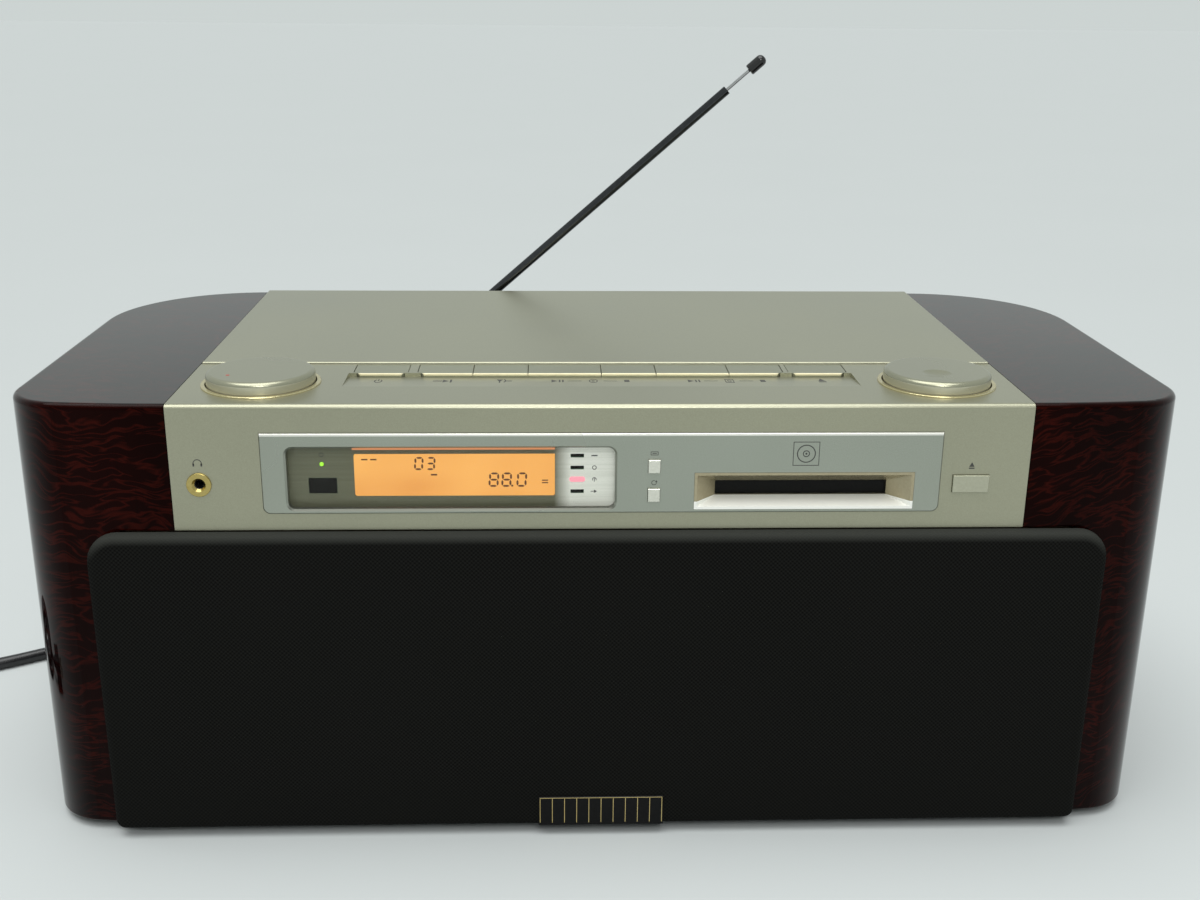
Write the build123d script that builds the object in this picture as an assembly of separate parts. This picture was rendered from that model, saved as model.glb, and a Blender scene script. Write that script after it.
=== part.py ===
from build123d import *
from math import acos, ceil, cos, floor, pi, radians, sin, tan
import os

os.makedirs("parts", exist_ok=True)

# A table-top stereo with a CD well, a MiniDisc slot and a radio. Sizes are millimetres and degrees.
# X runs to the right and Z up from the table. Y runs to the back and starts at the metal front face
# while the pieces are made. The finished pieces are then moved, so that the origin is on the table
# under the middle of the object.

# Cabinet
body_width = 500.0
body_depth = 225.5
body_top = 201.65
foot_height = 4.0
foot_radius = 9.0
foot_inset_x = 16.0
foot_inset_y = 20.0
cheek_width = 69.0
cheek_wall = 9.0
front_round = 25.0
bow_angle = 6.5
cheek_edge_round = 2.5
cheek_foot_round = 1.2
seam_gap = 0.3

# Chassis
floor_wall = 3.0
chassis_post = 5.0
chassis_post_length = 9.0
flange_height = 24.0
flange_wall = 2.0

# Metal front band and control deck
band_height = 55.05
band_wall = 2.2
deck_depth = 65.6
deck_wall = 3.0
deck_edge_round = 2.2
lip_wall = 2.4
lip_depth = 20.0
boss_radius = 3.0

# Fascia plate
fascia_inset = 38.15
fascia_height = 35.2
fascia_lift = 7.6
fascia_proud = 0.8
fascia_wall = 3.2
fascia_round = 3.0
fascia_gap = 0.25
fascia_edge_round = 0.5

# Display window and what lies behind it
window_inset = 10.35
window_lift = 1.8
window_height = 27.0
window_round = 3.0
window_wall = 2.4
window_set_back = 0.4
window_gap = 0.1
window_bevel = 0.8
panel_y = 4.6
panel_wall = 1.0
panel_margin_x = 2.0
panel_margin_z = 1.0
lcd_inset_left = 27.5
lcd_inset_right = 25.3
lcd_lift = 6.0
lcd_height = 18.5
lcd_proud = 0.15
front_board_y = 9.2
board_wall = 1.6
power_lamp_inset = 14.0
power_lamp_lift = 20.2
power_lamp_radius = 1.0
sensor_inset = 14.1
sensor_width = 11.8
sensor_height = 6.8
sensor_lift = 7.2
source_lamp_inset = 15.85
source_lamp_width = 5.5
source_lamp_height = 1.5
source_lamp_lift = 7.0
source_lamp_pitch = 5.33
source_lamps = 4
lamp_gap = 0.1

# Buttons on the front
fascia_button_offset = 16.4
fascia_button_width = 5.1
fascia_button_height = 5.9
play_mode_lift = 8.0
display_lift = 20.8
button_proud = 1.2
button_flange = 1.2
button_flange_reach = 0.8
button_edge_round = 0.4
switch_height = 1.0
button_stem = 3.0
button_travel = 0.8
eject_offset = 13.2
eject_width = 15.5
eject_height = 7.7
eject_lift = 19.95
slide_gap = 0.15

# Phones socket
phones_inset = 12.0
phones_lift = 20.4
phones_ring_radius = 5.2
phones_barrel_radius = 4.2
phones_bore = 1.8
phones_length = 16.0
phones_body = 11.0
ring_rise = 0.8
ring_edge_round = 0.35
mouth_start = 0.6
mouth_flare = 1.2
mouth_depth = 1.3

# MiniDisc slot, door and deck
md_inset = 57.85
md_button_offset = 63.9
md_bezel_width = 93.5
md_bezel_height = 16.4
md_bezel_lift = 1.3
md_bezel_rim = 1.2
slot_width = 74.0
slot_height = 6.5
slot_lift = 4.8
slot_y = 8.0
bezel_back = 1.2
door_wall = 1.0
door_gap = 0.3
door_pin = 0.6
pin_gap = 0.05
md_deck_depth = 78.0
md_deck_wall = 2.0
md_tunnel_depth = 72.0
md_tunnel_height = 8.2
md_floor_wall = 2.0
md_turntable_radius = 8.0
md_turntable_wall = 2.0
md_hub_radius = 3.0
md_hub_rise = 0.6
md_shaft = 0.8

# Knobs
knob_inset = 33.5
knob_offset_y = 1.2
knob_radius = 23.25
knob_rise = 6.0
knob_skirt = 3.0
knob_wall = 2.2
knob_edge_round = 2.2
knob_ring_radius = 25.6
knob_ring_bore = 23.85
knob_ring_rise = 0.7
knob_ring_round = 0.4
knob_sleeve_wall = 0.75
dimple_offset_x = 2.0
dimple_offset_y = 7.0
dimple_radius = 6.5
dimple_depth = 1.1
knob_shaft = 3.0
knob_hub = 5.0
pot_size = 16.0
pot_height = 7.0

# Keys. Their widths are shares of the space between the two knobs
key_back_margin = 1.3
key_depth = 15.3
key_height = 4.2
key_gap = 0.25
key_corner = 2.8
key_edge_round = 0.3
key_travel = 1.2
key_stem = 2.0
key_stem_length = 4.4
switch_size = 6.0
key_row = 243.8
power_key_left_share = -109.9 / key_row
power_key_share = 24.0 / key_row
strip_left_share = -81.5 / key_row
small_key_share = 24.55 / key_row
play_key_share = 32.8 / key_row
open_key_left_share = 84.9 / key_row
open_key_share = 26.2 / key_row
groove_left_margin = 9.9
groove_right_margin = 8.9
groove_run = 21.0
groove_depth = 1.7

# Lid, its liner and its drive
lid_gap = 0.6
lid_side_gap = 0.5
lid_rise = 0.8
lid_wall = 2.0
lid_rim = 6.0
lid_rim_wall = 1.6
lid_edge_round = 0.8
lid_skirt = 10.8
liner_wall = 1.8
liner_gap = 2.0
hinge_inset = 6.0
hinge_drop = 8.0
hinge_inset_x = 31.0
hinge_clearance = 9.0
arm_wall = 4.0
arm_radius = 3.5
trunnion_radius = 1.8
ear_wall = 5.0
ear_length = 12.0
gear_offset = 8.0
gear_wall = 4.0
tooth_module = 0.8
sector_teeth = 60
pinion_teeth = 18
tooth_backlash = 0.16
pressure_angle = 20.0
mesh_angle = 205.0
lid_opening = 62.0
sector_margin = 7.0
pinion_shaft = 1.5
lid_motor_radius = 10.0
lid_motor_length = 30.0

# CD well and mechanism
well_drop = 7.15
well_plate = 3.0
well_y = 137.0
well_radius = 63.0
well_wall = 2.5
well_depth = 10.0
well_back_margin = 12.5
disc_seat_rise = 2.5
turntable_radius = 15.0
turntable_hole = 17.0
turntable_wall = 1.5
disc_hub_radius = 7.45
disc_hub_height = 2.6
disc_hub_cone = 0.8
spindle_radius = 1.0
spindle_length = 26.0
spindle_motor_radius = 12.0
spindle_motor_height = 14.0
mechanism_wall = 2.0
mechanism_drop = 12.0
mechanism_half_depth = 25.0
mechanism_left = 26.0
mechanism_right = 76.0
mechanism_post = 3.0
rod_spacing = 30.0
rod_radius = 1.5
pickup_inner = 25.0
pickup_travel = 30.0
pickup_width = 22.0
pickup_height = 5.0
pickup_margin = 3.0
lens_radius = 3.5
lens_mount = 11.0
pickup_slot_half = 6.5

# Speakers and baffle
baffle_overlap = 23.0
baffle_y = 7.0
baffle_wall = 12.0
speaker_inset = 43.0
speaker_z = 75.0
speaker_flange_radius = 52.0
speaker_flange_wall = 2.5
speaker_opening = 44.0
basket_depth = 31.0
basket_neck = 33.0
magnet_radius = 32.0
magnet_depth = 18.0
coil_gap_inner = 11.0
coil_gap_outer = 12.8
cone_gap = 0.3
cone_wall = 1.0

# Grille
grille_overlap = 37.0
grille_gap = 0.6
grille_proud = 6.0
grille_back = 0.3
grille_corner_top = 13.0
grille_corner_bottom = 4.0
grille_edge = 4.4
cloth_wall = 0.8
grille_border = 16.0
grille_bar = 20.0
peg_radius = 3.0
peg_inset = 26.0
peg_inset_z = 14.0
peg_length = 11.0
peg_gap = 0.1
badge_width = 56.0
badge_height = 14.6
badge_lift = 1.2
badge_wall = 1.0
badge_bevel = 0.3

# Back panel, circuit boards and sockets
back_wall = 2.5
back_height = 184.0
control_board_drop = 13.0
main_board_left = -60.0
main_board_inset = 16.0
main_board_front = 85.0
main_board_back_margin = 20.5
standoff_height = 8.0
standoff_radius = 3.5
heat_sink_inset = 65.0
heat_sink_width = 70.0
heat_sink_height = 44.0
heat_sink_depth = 22.0
heat_sink_base = 4.0
cooling_slots = 7
cooling_slot_half = 1.5
cooling_slot_lift = 20.0
cooling_slot_inset = 4.0
fin_wall = 2.0
fins = 8
board_inset = 8.0
capacitors = 3
capacitor_radius = 9.0
capacitor_height = 30.0
capacitor_pitch = 30.0
capacitor_inset_x = 25.0
capacitor_inset_y = 35.0
transformer_inset = 41.0
transformer_y = 150.0
transformer_width = 62.0
transformer_depth = 34.0
transformer_height = 50.0
bobbin_bulge = 9.0
bobbin_width = 40.0
bobbin_inset = 8.0
jack_x = 32.0
jack_spacing = 16.0
jack_z = 60.0
jack_radius = 4.15
jack_neck_radius = 3.8
jack_neck_out = 0.4
jack_bore = 1.6
jack_length = 9.0
jack_body = 12.0
screw_head_radius = 3.4
screw_head = 1.8
screw_head_round = 0.8
screw_shank = 1.4
screw_length = 7.0
screw_rows = 3
screw_inset = 12.0

# Antenna
antenna_inset = 91.0
antenna_z = 168.0
antenna_stand_off = 14.0
antenna_elevation = 41.1
tube_radius = 2.5
tube_wall = 0.3
tube_gap = 0.1
tube_start = 5.5
tube_end = 219.9
middle_start = 9.0
tube_collar = 4.0
tip_radius = 0.9
tip_shown = 16.0
tip_foot = 12.0
cap_radius = 3.15
cap_length = 10.8
cap_round = 0.8
cap_flat_radius = 0.35
tang_wall = 3.0
fork_wall = 1.6
fork_gap = 0.1
fork_radius = 2.9
fork_pin = 1.2
swivel_radius = 2.4
swivel_disc_radius = 6.0
swivel_disc_wall = 2.6
antenna_flange_radius = 9.5
antenna_flange_wall = 2.0
antenna_boss_radius = 6.5
antenna_boss_length = 5.4

# Mains cord, coil, tie and plug
cord_radius = 3.3
cord_exit_inset = 61.0
cord_exit_z = 22.0
relief_length = 22.0
relief_root = 6.5
relief_tip = 4.4
relief_flange = 9.0
coil_turn_radius = 43.2
coil_pitch = 7.2
coil_half_turns = 6
coil_direction = 186.0
coil_entry_aside = 162.0
coil_entry_back = 86.0
coil_tail_radius = 20.0
cord_run_in = 26.0
tie_wall = 0.9
tie_gap = 0.1
tie_width = 5.0
tie_round = 1.2
plug_length = 30.0
plug_width = 25.0
plug_height = 20.0
plug_neck_length = 9.0
plug_neck_radius = 4.2
plug_neck_flare = 1.6
plug_round = 4.0
blade_length = 17.0
blade_height = 6.3
blade_wall = 1.5
blade_spacing = 12.7

# Places that follow from the sizes above
cheek_inner = body_width / 2 - cheek_width
metal_half = cheek_inner - seam_gap
band_bottom = body_top - band_height
fascia_bottom = band_bottom + fascia_lift
slot_bottom = fascia_bottom + slot_lift
hinge_y = body_depth - hinge_inset
hinge_z = body_top - hinge_drop
phones_x = -(cheek_inner - phones_inset)
fascia_width = 2 * (cheek_inner - fascia_inset)
window_left = -fascia_width / 2 + window_inset
md_x = fascia_width / 2 - md_inset
fascia_button_x = md_x - md_button_offset
window_right = fascia_button_x - fascia_button_offset
window_width = window_right - window_left
lcd_left = window_left + lcd_inset_left
lcd_width = window_right - lcd_inset_right - lcd_left
power_lamp_x = window_left + power_lamp_inset
sensor_x = window_left + sensor_inset
source_lamp_x = window_right - source_lamp_inset
eject_x = fascia_width / 2 + eject_offset
knob_x = cheek_inner - knob_inset
knob_y = deck_depth / 2 + knob_offset_y
key_space = 2 * (knob_x - knob_ring_radius)
key_front = deck_depth - key_back_margin - key_depth
power_key_left = power_key_left_share * key_space
power_key_width = power_key_share * key_space
strip_left = strip_left_share * key_space
small_key_width = small_key_share * key_space
play_key_width = play_key_share * key_space
open_key_left = open_key_left_share * key_space
open_key_width = open_key_share * key_space
groove_left = -key_space / 2 + groove_left_margin
groove_right = key_space / 2 - groove_right_margin
groove_front = key_front - groove_run
hinge_x = cheek_inner - hinge_inset_x
gear_x = hinge_x - gear_offset
lid_front = deck_depth + lid_gap
lid_half = cheek_inner - lid_side_gap
lid_top = body_top + lid_rise
liner_top = lid_top - lid_wall
liner_bottom = liner_top - liner_wall
back_inner = body_depth - back_wall
well_back = body_depth - well_back_margin
well_top = body_top - well_drop
well_underside = well_top - well_plate
well_floor = well_top - well_depth
disc_seat = well_floor + disc_seat_rise
control_board_top = body_top - control_board_drop
grille_top = band_bottom - grille_gap
grille_front = -grille_proud
grille_width = 2 * (cheek_inner + grille_overlap)
baffle_width = 2 * (cheek_inner + baffle_overlap)
speaker_x = cheek_inner - speaker_inset
floor_top = foot_height + floor_wall
sector_radius = tooth_module * sector_teeth / 2
pinion_radius = tooth_module * pinion_teeth / 2
mesh_distance = sector_radius + pinion_radius
pinion_y = hinge_y + mesh_distance * cos(radians(mesh_angle))
pinion_z = hinge_z + mesh_distance * sin(radians(mesh_angle))
antenna_x = -(cheek_inner - antenna_inset)
antenna_y = body_depth + antenna_stand_off
main_board_right = cheek_inner - main_board_inset
main_board_back = body_depth - main_board_back_margin
heat_sink_x = main_board_right - heat_sink_inset
transformer_x = -(cheek_inner - transformer_inset)
cord_exit_x = -(cheek_inner - cord_exit_inset)
left_side = -body_width / 2
coil_entry_x = left_side - coil_entry_aside
coil_entry_y = body_depth - coil_entry_back
mechanism_top = well_floor - well_wall - mechanism_drop
rod_z = mechanism_top + 5.0


def block(x0, x1, y0, y1, z0, z1):
    return Pos((x0 + x1) / 2, (y0 + y1) / 2, (z0 + z1) / 2) * Box(x1 - x0, y1 - y0, z1 - z0)


def upright(x, y, z0, z1, radius):
    return Pos(x, y, (z0 + z1) / 2) * Cylinder(radius, z1 - z0)


def along_y(x, z, y0, y1, radius):
    return Pos(x, (y0 + y1) / 2, z) * Rot(90, 0, 0) * Cylinder(radius, y1 - y0)


def along_x(y, z, x0, x1, radius):
    return Pos((x0 + x1) / 2, y, z) * Rot(0, 90, 0) * Cylinder(radius, x1 - x0)


def join(pieces):
    whole = pieces[0]
    for piece in pieces[1:]:
        whole = whole + piece
    return whole


# A plate that stands in the XZ plane, with its own radius for the lower and the upper corners
def standing_plate(x0, x1, z0, z1, y0, y1, low_round, high_round):
    plate = block(x0, x1, y0, y1, z0, z1)
    corners = plate.edges().filter_by(Axis.Y)
    low = [edge for edge in corners if edge.center().Z < (z0 + z1) / 2]
    high = [edge for edge in corners if edge.center().Z > (z0 + z1) / 2]
    if low_round > 0:
        plate = fillet(low, low_round)
        high = [edge for edge in plate.edges().filter_by(Axis.Y) if edge.center().Z > z1 - low_round / 2]
    if high_round > 0:
        plate = fillet(high, high_round)
    return plate


def edges_at_front(piece, y):
    return [edge for edge in piece.edges() if abs(edge.bounding_box().min.Y - y) < 0.01
            and abs(edge.bounding_box().max.Y - y) < 0.01]


def edges_at_top(piece, z):
    return [edge for edge in piece.edges() if abs(edge.bounding_box().min.Z - z) < 0.01
            and abs(edge.bounding_box().max.Z - z) < 0.01]


# Plan outline of the right cheek, drawn in by one wall for its hollow. The front bows back a little,
# turns a round corner and ends in a quarter round at the back.
def cheek_outline(inset, inner_x):
    right = body_width / 2 - inset
    corner = front_round - inset
    back_round = cheek_width - inset
    turn = radians(bow_angle)
    bow_end = right - corner * (1 - sin(turn))
    bow = (bow_end - cheek_inner) * tan(turn / 2)
    start = (inner_x, inset)
    bow_start = (cheek_inner, inset)
    front_end = (bow_end, inset + bow)
    side_start = (right, inset + bow + corner * cos(turn))
    side_end = (right, body_depth - inset - back_round)
    back_end = (cheek_inner, body_depth - inset)
    lines = []
    if inner_x < cheek_inner:
        lines.append(Line(start, bow_start))
    bow_line = TangentArc(bow_start, front_end, tangent=(1, 0))
    lines.append(bow_line)
    lines.append(TangentArc(front_end, side_start, tangent=bow_line % 1))
    lines.append(Line(side_start, side_end))
    lines.append(TangentArc(side_end, back_end, tangent=(0, 1)))
    if inner_x < cheek_inner:
        lines.append(Line(back_end, (inner_x, body_depth - inset)))
    lines.append(Line((inner_x, body_depth - inset), start))
    return make_face(lines)


def right_cheek():
    body = Pos(0, 0, foot_height) * extrude(cheek_outline(0, cheek_inner), body_top - foot_height)
    rims = [edge for edge in edges_at_top(body, body_top) if edge.center().X > cheek_inner + 0.5]
    body = fillet(rims, cheek_edge_round)
    feet = [edge for edge in edges_at_top(body, foot_height) if edge.center().X > cheek_inner + 0.5]
    body = fillet(feet, cheek_foot_round)
    hollow_height = body_top - foot_height - 2 * cheek_wall
    hollow = extrude(cheek_outline(cheek_wall, cheek_inner - 1), hollow_height)
    body = body - Pos(0, 0, foot_height + cheek_wall) * hollow
    baffle_cut = block(cheek_inner - 1, baffle_width / 2 + seam_gap, -1, baffle_y + baffle_wall + seam_gap,
                       foot_height - 1, band_bottom)
    return body - baffle_cut


# The bent metal piece: front band, control deck and the lip under the band
def front_panel():
    shell = block(-metal_half, metal_half, 0, deck_depth, band_bottom, body_top)
    front_edge = [edge for edge in edges_at_front(shell, 0) if edge.center().Z > body_top - 0.01]
    shell = fillet(front_edge, deck_edge_round)
    shell -= block(-body_width, body_width, band_wall, body_depth, band_bottom + lip_wall,
                   body_top - deck_wall)
    shell -= block(-body_width, body_width, lip_depth, body_depth, 0, body_top - deck_wall)
    posts = []
    for x, y in control_board_bosses():
        posts.append(upright(x, y, control_board_top, body_top - deck_wall, boss_radius))
    shell = join([shell] + posts)
    fascia_hole = standing_plate(-fascia_width / 2 - fascia_gap, fascia_width / 2 + fascia_gap,
                                 fascia_bottom - fascia_gap, fascia_bottom + fascia_height + fascia_gap,
                                 -1, band_wall + 1, fascia_round, 0)
    shell -= fascia_hole
    shell -= along_y(phones_x, band_bottom + phones_lift, -1, band_wall + 1,
                     phones_barrel_radius + seam_gap / 3)
    shell -= button_hole(eject_x, band_bottom + eject_lift, eject_width, eject_height, -1, band_wall + 1)
    for side in (-1, 1):
        shell -= upright(side * knob_x, knob_y, body_top - deck_wall - 1, body_top + 1, ring_sleeve_radius())
    groove = Plane.YZ * make_face(Polyline((groove_front, body_top), (key_front + 1, body_top - groove_depth),
                                           (key_front + 1, body_top + 1), (groove_front, body_top + 1),
                                           close=True))
    shell -= Pos(groove_left, 0, 0) * extrude(groove, groove_right - groove_left)
    for left, width, left_cut, right_cut in key_groups():
        hole = key_plan(left, width, left_cut, right_cut, key_gap)
        shell -= Pos(0, 0, body_top - deck_wall - 1) * extrude(hole, deck_wall + 2)
    return shell


def control_board_bosses():
    near = 12.0
    far = deck_depth - 7.0
    return [(-metal_half + near, far), (metal_half - near, far), (-knob_x + 33, near), (knob_x - 33, near)]


def ring_sleeve_radius():
    return knob_ring_bore + knob_sleeve_wall


def button_hole(x, z, width, height, y0, y1):
    return block(x - width / 2 - slide_gap, x + width / 2 + slide_gap, y0, y1,
                 z - height / 2 - slide_gap, z + height / 2 + slide_gap)


def fascia_plate():
    plate = standing_plate(-fascia_width / 2, fascia_width / 2, fascia_bottom, fascia_bottom + fascia_height,
                           -fascia_proud, fascia_wall - fascia_proud, fascia_round, 0)
    plate = fillet(edges_at_front(plate, -fascia_proud), fascia_edge_round)
    window_z = fascia_bottom + window_lift
    opening = standing_plate(window_left, window_left + window_width, window_z, window_z + window_height,
                             -2, fascia_wall + 1, window_round, window_round)
    plate -= opening
    rim = [edge for edge in edges_at_front(plate, -fascia_proud) if window_left - 1 < edge.center().X
           < window_left + window_width + 1 and edge.length < window_width + 1
           and window_z - 0.5 < edge.center().Z < window_z + window_height + 0.5]
    plate = chamfer(rim, window_bevel)
    bezel_z = fascia_bottom + md_bezel_lift
    plate -= block(md_x - md_bezel_width / 2 - window_gap, md_x + md_bezel_width / 2 + window_gap, -2,
                   fascia_wall,
                   bezel_z - window_gap, bezel_z + md_bezel_height + window_gap)
    for lift in (play_mode_lift, display_lift):
        plate -= button_hole(fascia_button_x, fascia_bottom + lift, fascia_button_width, fascia_button_height,
                             -2, fascia_wall)
    return plate


def display_window():
    window_z = fascia_bottom + window_lift
    return standing_plate(window_left + window_gap, window_left + window_width - window_gap,
                          window_z + window_gap, window_z + window_height - window_gap,
                          window_set_back - fascia_proud + window_bevel,
                          window_set_back - fascia_proud + window_bevel + window_wall,
                          window_round - window_gap, window_round - window_gap)


# Centres of the source lamps, from the lowest to the highest
def source_lamp_heights():
    return [fascia_bottom + source_lamp_lift + source_lamp_height / 2 - 0.05 + number * source_lamp_pitch
            for number in range(source_lamps)]


def display_panel():
    window_z = fascia_bottom + window_lift
    card = block(window_left - panel_margin_x, window_right + panel_margin_x, panel_y, panel_y + panel_wall,
                 window_z - panel_margin_z, window_z + window_height + panel_margin_z)
    lcd_z = fascia_bottom + lcd_lift
    card -= block(lcd_left - lamp_gap, lcd_left + lcd_width + lamp_gap, panel_y - 1, panel_y + 2,
                  lcd_z - lamp_gap, lcd_z + lcd_height + lamp_gap)
    card -= along_y(power_lamp_x, fascia_bottom + power_lamp_lift, panel_y - 1, panel_y + 2,
                    power_lamp_radius + lamp_gap)
    sensor_z = fascia_bottom + sensor_lift
    card -= block(sensor_x - sensor_width / 2 - lamp_gap, sensor_x + sensor_width / 2 + lamp_gap, panel_y - 1,
                  panel_y + 2, sensor_z - lamp_gap, sensor_z + sensor_height + lamp_gap)
    for z in source_lamp_heights():
        card -= block(source_lamp_x - source_lamp_width / 2 - lamp_gap,
                      source_lamp_x + source_lamp_width / 2 + lamp_gap,
                      panel_y - 1, panel_y + 2, z - source_lamp_height / 2 - lamp_gap,
                      z + source_lamp_height / 2 + lamp_gap)
    return card


def lcd_module():
    lcd_z = fascia_bottom + lcd_lift
    return standing_plate(lcd_left, lcd_left + lcd_width, lcd_z, lcd_z + lcd_height,
                          panel_y - lcd_proud, front_board_y, 1.0, 1.0)


# The board behind the window with its lamps, sensor and switches, and the small board of the eject button
def front_boards():
    window_z = fascia_bottom + window_lift
    right = fascia_button_x + fascia_button_width
    board_low = window_z - panel_margin_z
    board_high = window_z + window_height + panel_margin_z
    board = block(window_left - panel_margin_x, right, front_board_y, front_board_y + board_wall, board_low,
                  board_high)
    reach = panel_y + 0.05
    pieces = [board, along_y(power_lamp_x, fascia_bottom + power_lamp_lift, reach, front_board_y,
                             power_lamp_radius)]
    sensor_z = fascia_bottom + sensor_lift
    pieces.append(block(sensor_x - sensor_width / 2, sensor_x + sensor_width / 2, reach, front_board_y,
                        sensor_z, sensor_z + sensor_height))
    for z in source_lamp_heights():
        pieces.append(block(source_lamp_x - source_lamp_width / 2,
                            source_lamp_x + source_lamp_width / 2, reach,
                            front_board_y, z - source_lamp_height / 2, z + source_lamp_height / 2))
    for z in (fascia_bottom + play_mode_lift, fascia_bottom + display_lift):
        pieces.append(switch_block(fascia_button_x, z, front_board_y))
    # Two ribs hold the board to the back of the fascia plate
    for x in (window_left - 1, fascia_button_x - 2 * fascia_button_width):
        pieces.append(block(x - 1, x + 1, panel_y + panel_wall, front_board_y, board_low, board_high))
    eject_z = band_bottom + eject_lift
    side_board = block(eject_x - eject_width / 2 - 2, eject_x + eject_width / 2 + 2, front_board_y,
                       front_board_y + board_wall, band_bottom + lip_wall, eject_z + eject_height)
    return join(pieces) + (side_board + switch_block(eject_x, eject_z, front_board_y))


def switch_block(x, z, y):
    half = button_stem / 2 + 0.5
    return block(x - half, x + half, y - switch_height, y, z - half, z + half)


# A push button: cap in its hole, flange behind the plate and a stem towards its switch
def push_button(x, z, width, height, front, plate_back):
    cap = block(x - width / 2, x + width / 2, front, plate_back + button_flange, z - height / 2,
                z + height / 2)
    cap = fillet(edges_at_front(cap, front), button_edge_round)
    half_width = width / 2 + button_flange_reach
    half_height = height / 2 + button_flange_reach
    flange = block(x - half_width, x + half_width, plate_back + slide_gap, plate_back + button_flange,
                   z - half_height, z + half_height)
    stem_end = front_board_y - switch_height - button_travel - slide_gap
    stem = block(x - button_stem / 2, x + button_stem / 2, plate_back, stem_end, z - button_stem / 2,
                 z + button_stem / 2)
    return cap + flange + stem


def fascia_button(lift):
    return push_button(fascia_button_x, fascia_bottom + lift, fascia_button_width, fascia_button_height,
                       -fascia_proud - button_proud, fascia_wall - fascia_proud)


def eject_button():
    return push_button(eject_x, band_bottom + eject_lift, eject_width, eject_height, -button_proud, band_wall)


def phones_jack():
    z = band_bottom + phones_lift
    ring = along_y(phones_x, z, -ring_rise, 0, phones_ring_radius)
    ring = fillet(edges_at_front(ring, -ring_rise), ring_edge_round)
    barrel = along_y(phones_x, z, 0, band_wall + 0.5, phones_barrel_radius)
    box = block(phones_x - phones_body / 2, phones_x + phones_body / 2, band_wall, phones_length,
                z - phones_body / 2, z + phones_body / 2)
    socket = ring + barrel + box
    mouth = Cone(phones_bore, phones_bore + mouth_flare, mouth_depth)
    mouth = Pos(phones_x, -ring_rise + mouth_start, z) * Rot(90, 0, 0) * mouth
    socket -= mouth
    return socket - along_y(phones_x, z, -ring_rise - 1, phones_length + 1, phones_bore)


def md_bezel():
    z0 = fascia_bottom + md_bezel_lift
    back = slot_y + bezel_back
    body = block(md_x - md_bezel_width / 2, md_x + md_bezel_width / 2, -fascia_proud, back, z0,
                 z0 + md_bezel_height)
    mouth = Pos(md_x, -fascia_proud, z0 + md_bezel_height / 2) * Rot(90, 0, 0) * Rectangle(
        md_bezel_width - 2 * md_bezel_rim, md_bezel_height - 2 * md_bezel_rim)
    throat = Pos(md_x, slot_y, slot_bottom + slot_height / 2) * Rot(90, 0, 0) * Rectangle(slot_width,
                                                                                          slot_height)
    body -= loft([mouth, throat], ruled=True)
    body -= block(md_x - slot_width / 2, md_x + slot_width / 2, slot_y - 1, back + 1, slot_bottom,
                  slot_bottom + slot_height)
    # Two ears at the slot's ends carry the door's pins
    pin_y, pin_z = door_axis()
    for side in (-1, 1):
        inner = md_x + side * (slot_width / 2 + 0.2)
        outer = md_x + side * (slot_width / 2 + 2.2)
        ear = block(min(inner, outer), max(inner, outer), back, pin_y + 1.6, pin_z - 1.6, pin_z + 1.6)
        body = body + ear - along_x(pin_y, pin_z, min(inner, outer) - 1, max(inner, outer) + 1,
                                    door_pin + pin_gap)
    return body


def door_axis():
    return slot_y + bezel_back + door_gap + door_wall / 2 + 0.3, slot_bottom + slot_height + 1.2


def md_door():
    y, z = door_axis()
    half = slot_width / 2 - 0.1
    flap = block(md_x - half, md_x + half, y - door_wall / 2, y + door_wall / 2, slot_bottom + 0.2, z)
    roll = along_x(y, z, md_x - half, md_x + half, door_wall / 2 + 0.2)
    pins = along_x(y, z, md_x - half - 2.0, md_x + half + 2.0, door_pin)
    return flap + roll + pins


# The MiniDisc deck: a frame with the tunnel that takes the cartridge, over the tray of its motor
def md_deck():
    front = door_axis()[0] + 2.0
    half = slot_width / 2 + md_deck_wall
    bottom = band_bottom + lip_wall
    tunnel_top = slot_bottom + md_tunnel_height
    body = block(md_x - half, md_x + half, front, front + md_deck_depth, bottom, tunnel_top + md_deck_wall)
    body -= block(md_x - slot_width / 2, md_x + slot_width / 2, front - 1, front + md_tunnel_depth,
                  slot_bottom,
                  tunnel_top)
    tray_top = slot_bottom - md_floor_wall
    body -= block(md_x - half + md_deck_wall, md_x + half - md_deck_wall, front + md_deck_wall,
                  front + md_deck_depth - md_deck_wall, bottom + md_deck_wall, tray_top)
    x, y = md_spindle()
    body -= upright(x, y, tray_top - 1, slot_bottom + 1, md_turntable_radius + 1)
    boss = upright(x, y, bottom + md_deck_wall, tray_top - md_turntable_wall, 3.0)
    return body + boss - upright(x, y, bottom + 0.5, tray_top, md_shaft + pin_gap)


def md_spindle():
    return md_x, door_axis()[0] + 2.0 + md_tunnel_depth / 2


def md_turntable():
    x, y = md_spindle()
    top = slot_bottom - md_hub_rise
    low = top - md_turntable_wall
    plate = upright(x, y, low, top, md_turntable_radius)
    hub = upright(x, y, top, top + md_hub_rise, md_hub_radius)
    return plate + hub + upright(x, y, band_bottom + lip_wall + md_deck_wall, low, md_shaft)


def knob_ring(side):
    ring_top = body_top + knob_ring_rise
    ring = upright(side * knob_x, knob_y, body_top, ring_top, knob_ring_radius)
    ring = fillet(edges_at_top(ring, ring_top), knob_ring_round)
    ring += upright(side * knob_x, knob_y, body_top - deck_wall, body_top,
                    ring_sleeve_radius() - seam_gap / 3)
    return ring - upright(side * knob_x, knob_y, body_top - deck_wall - 1, body_top + 2, knob_ring_bore)


def knob_rings():
    return knob_ring(-1) + knob_ring(1)


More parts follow.
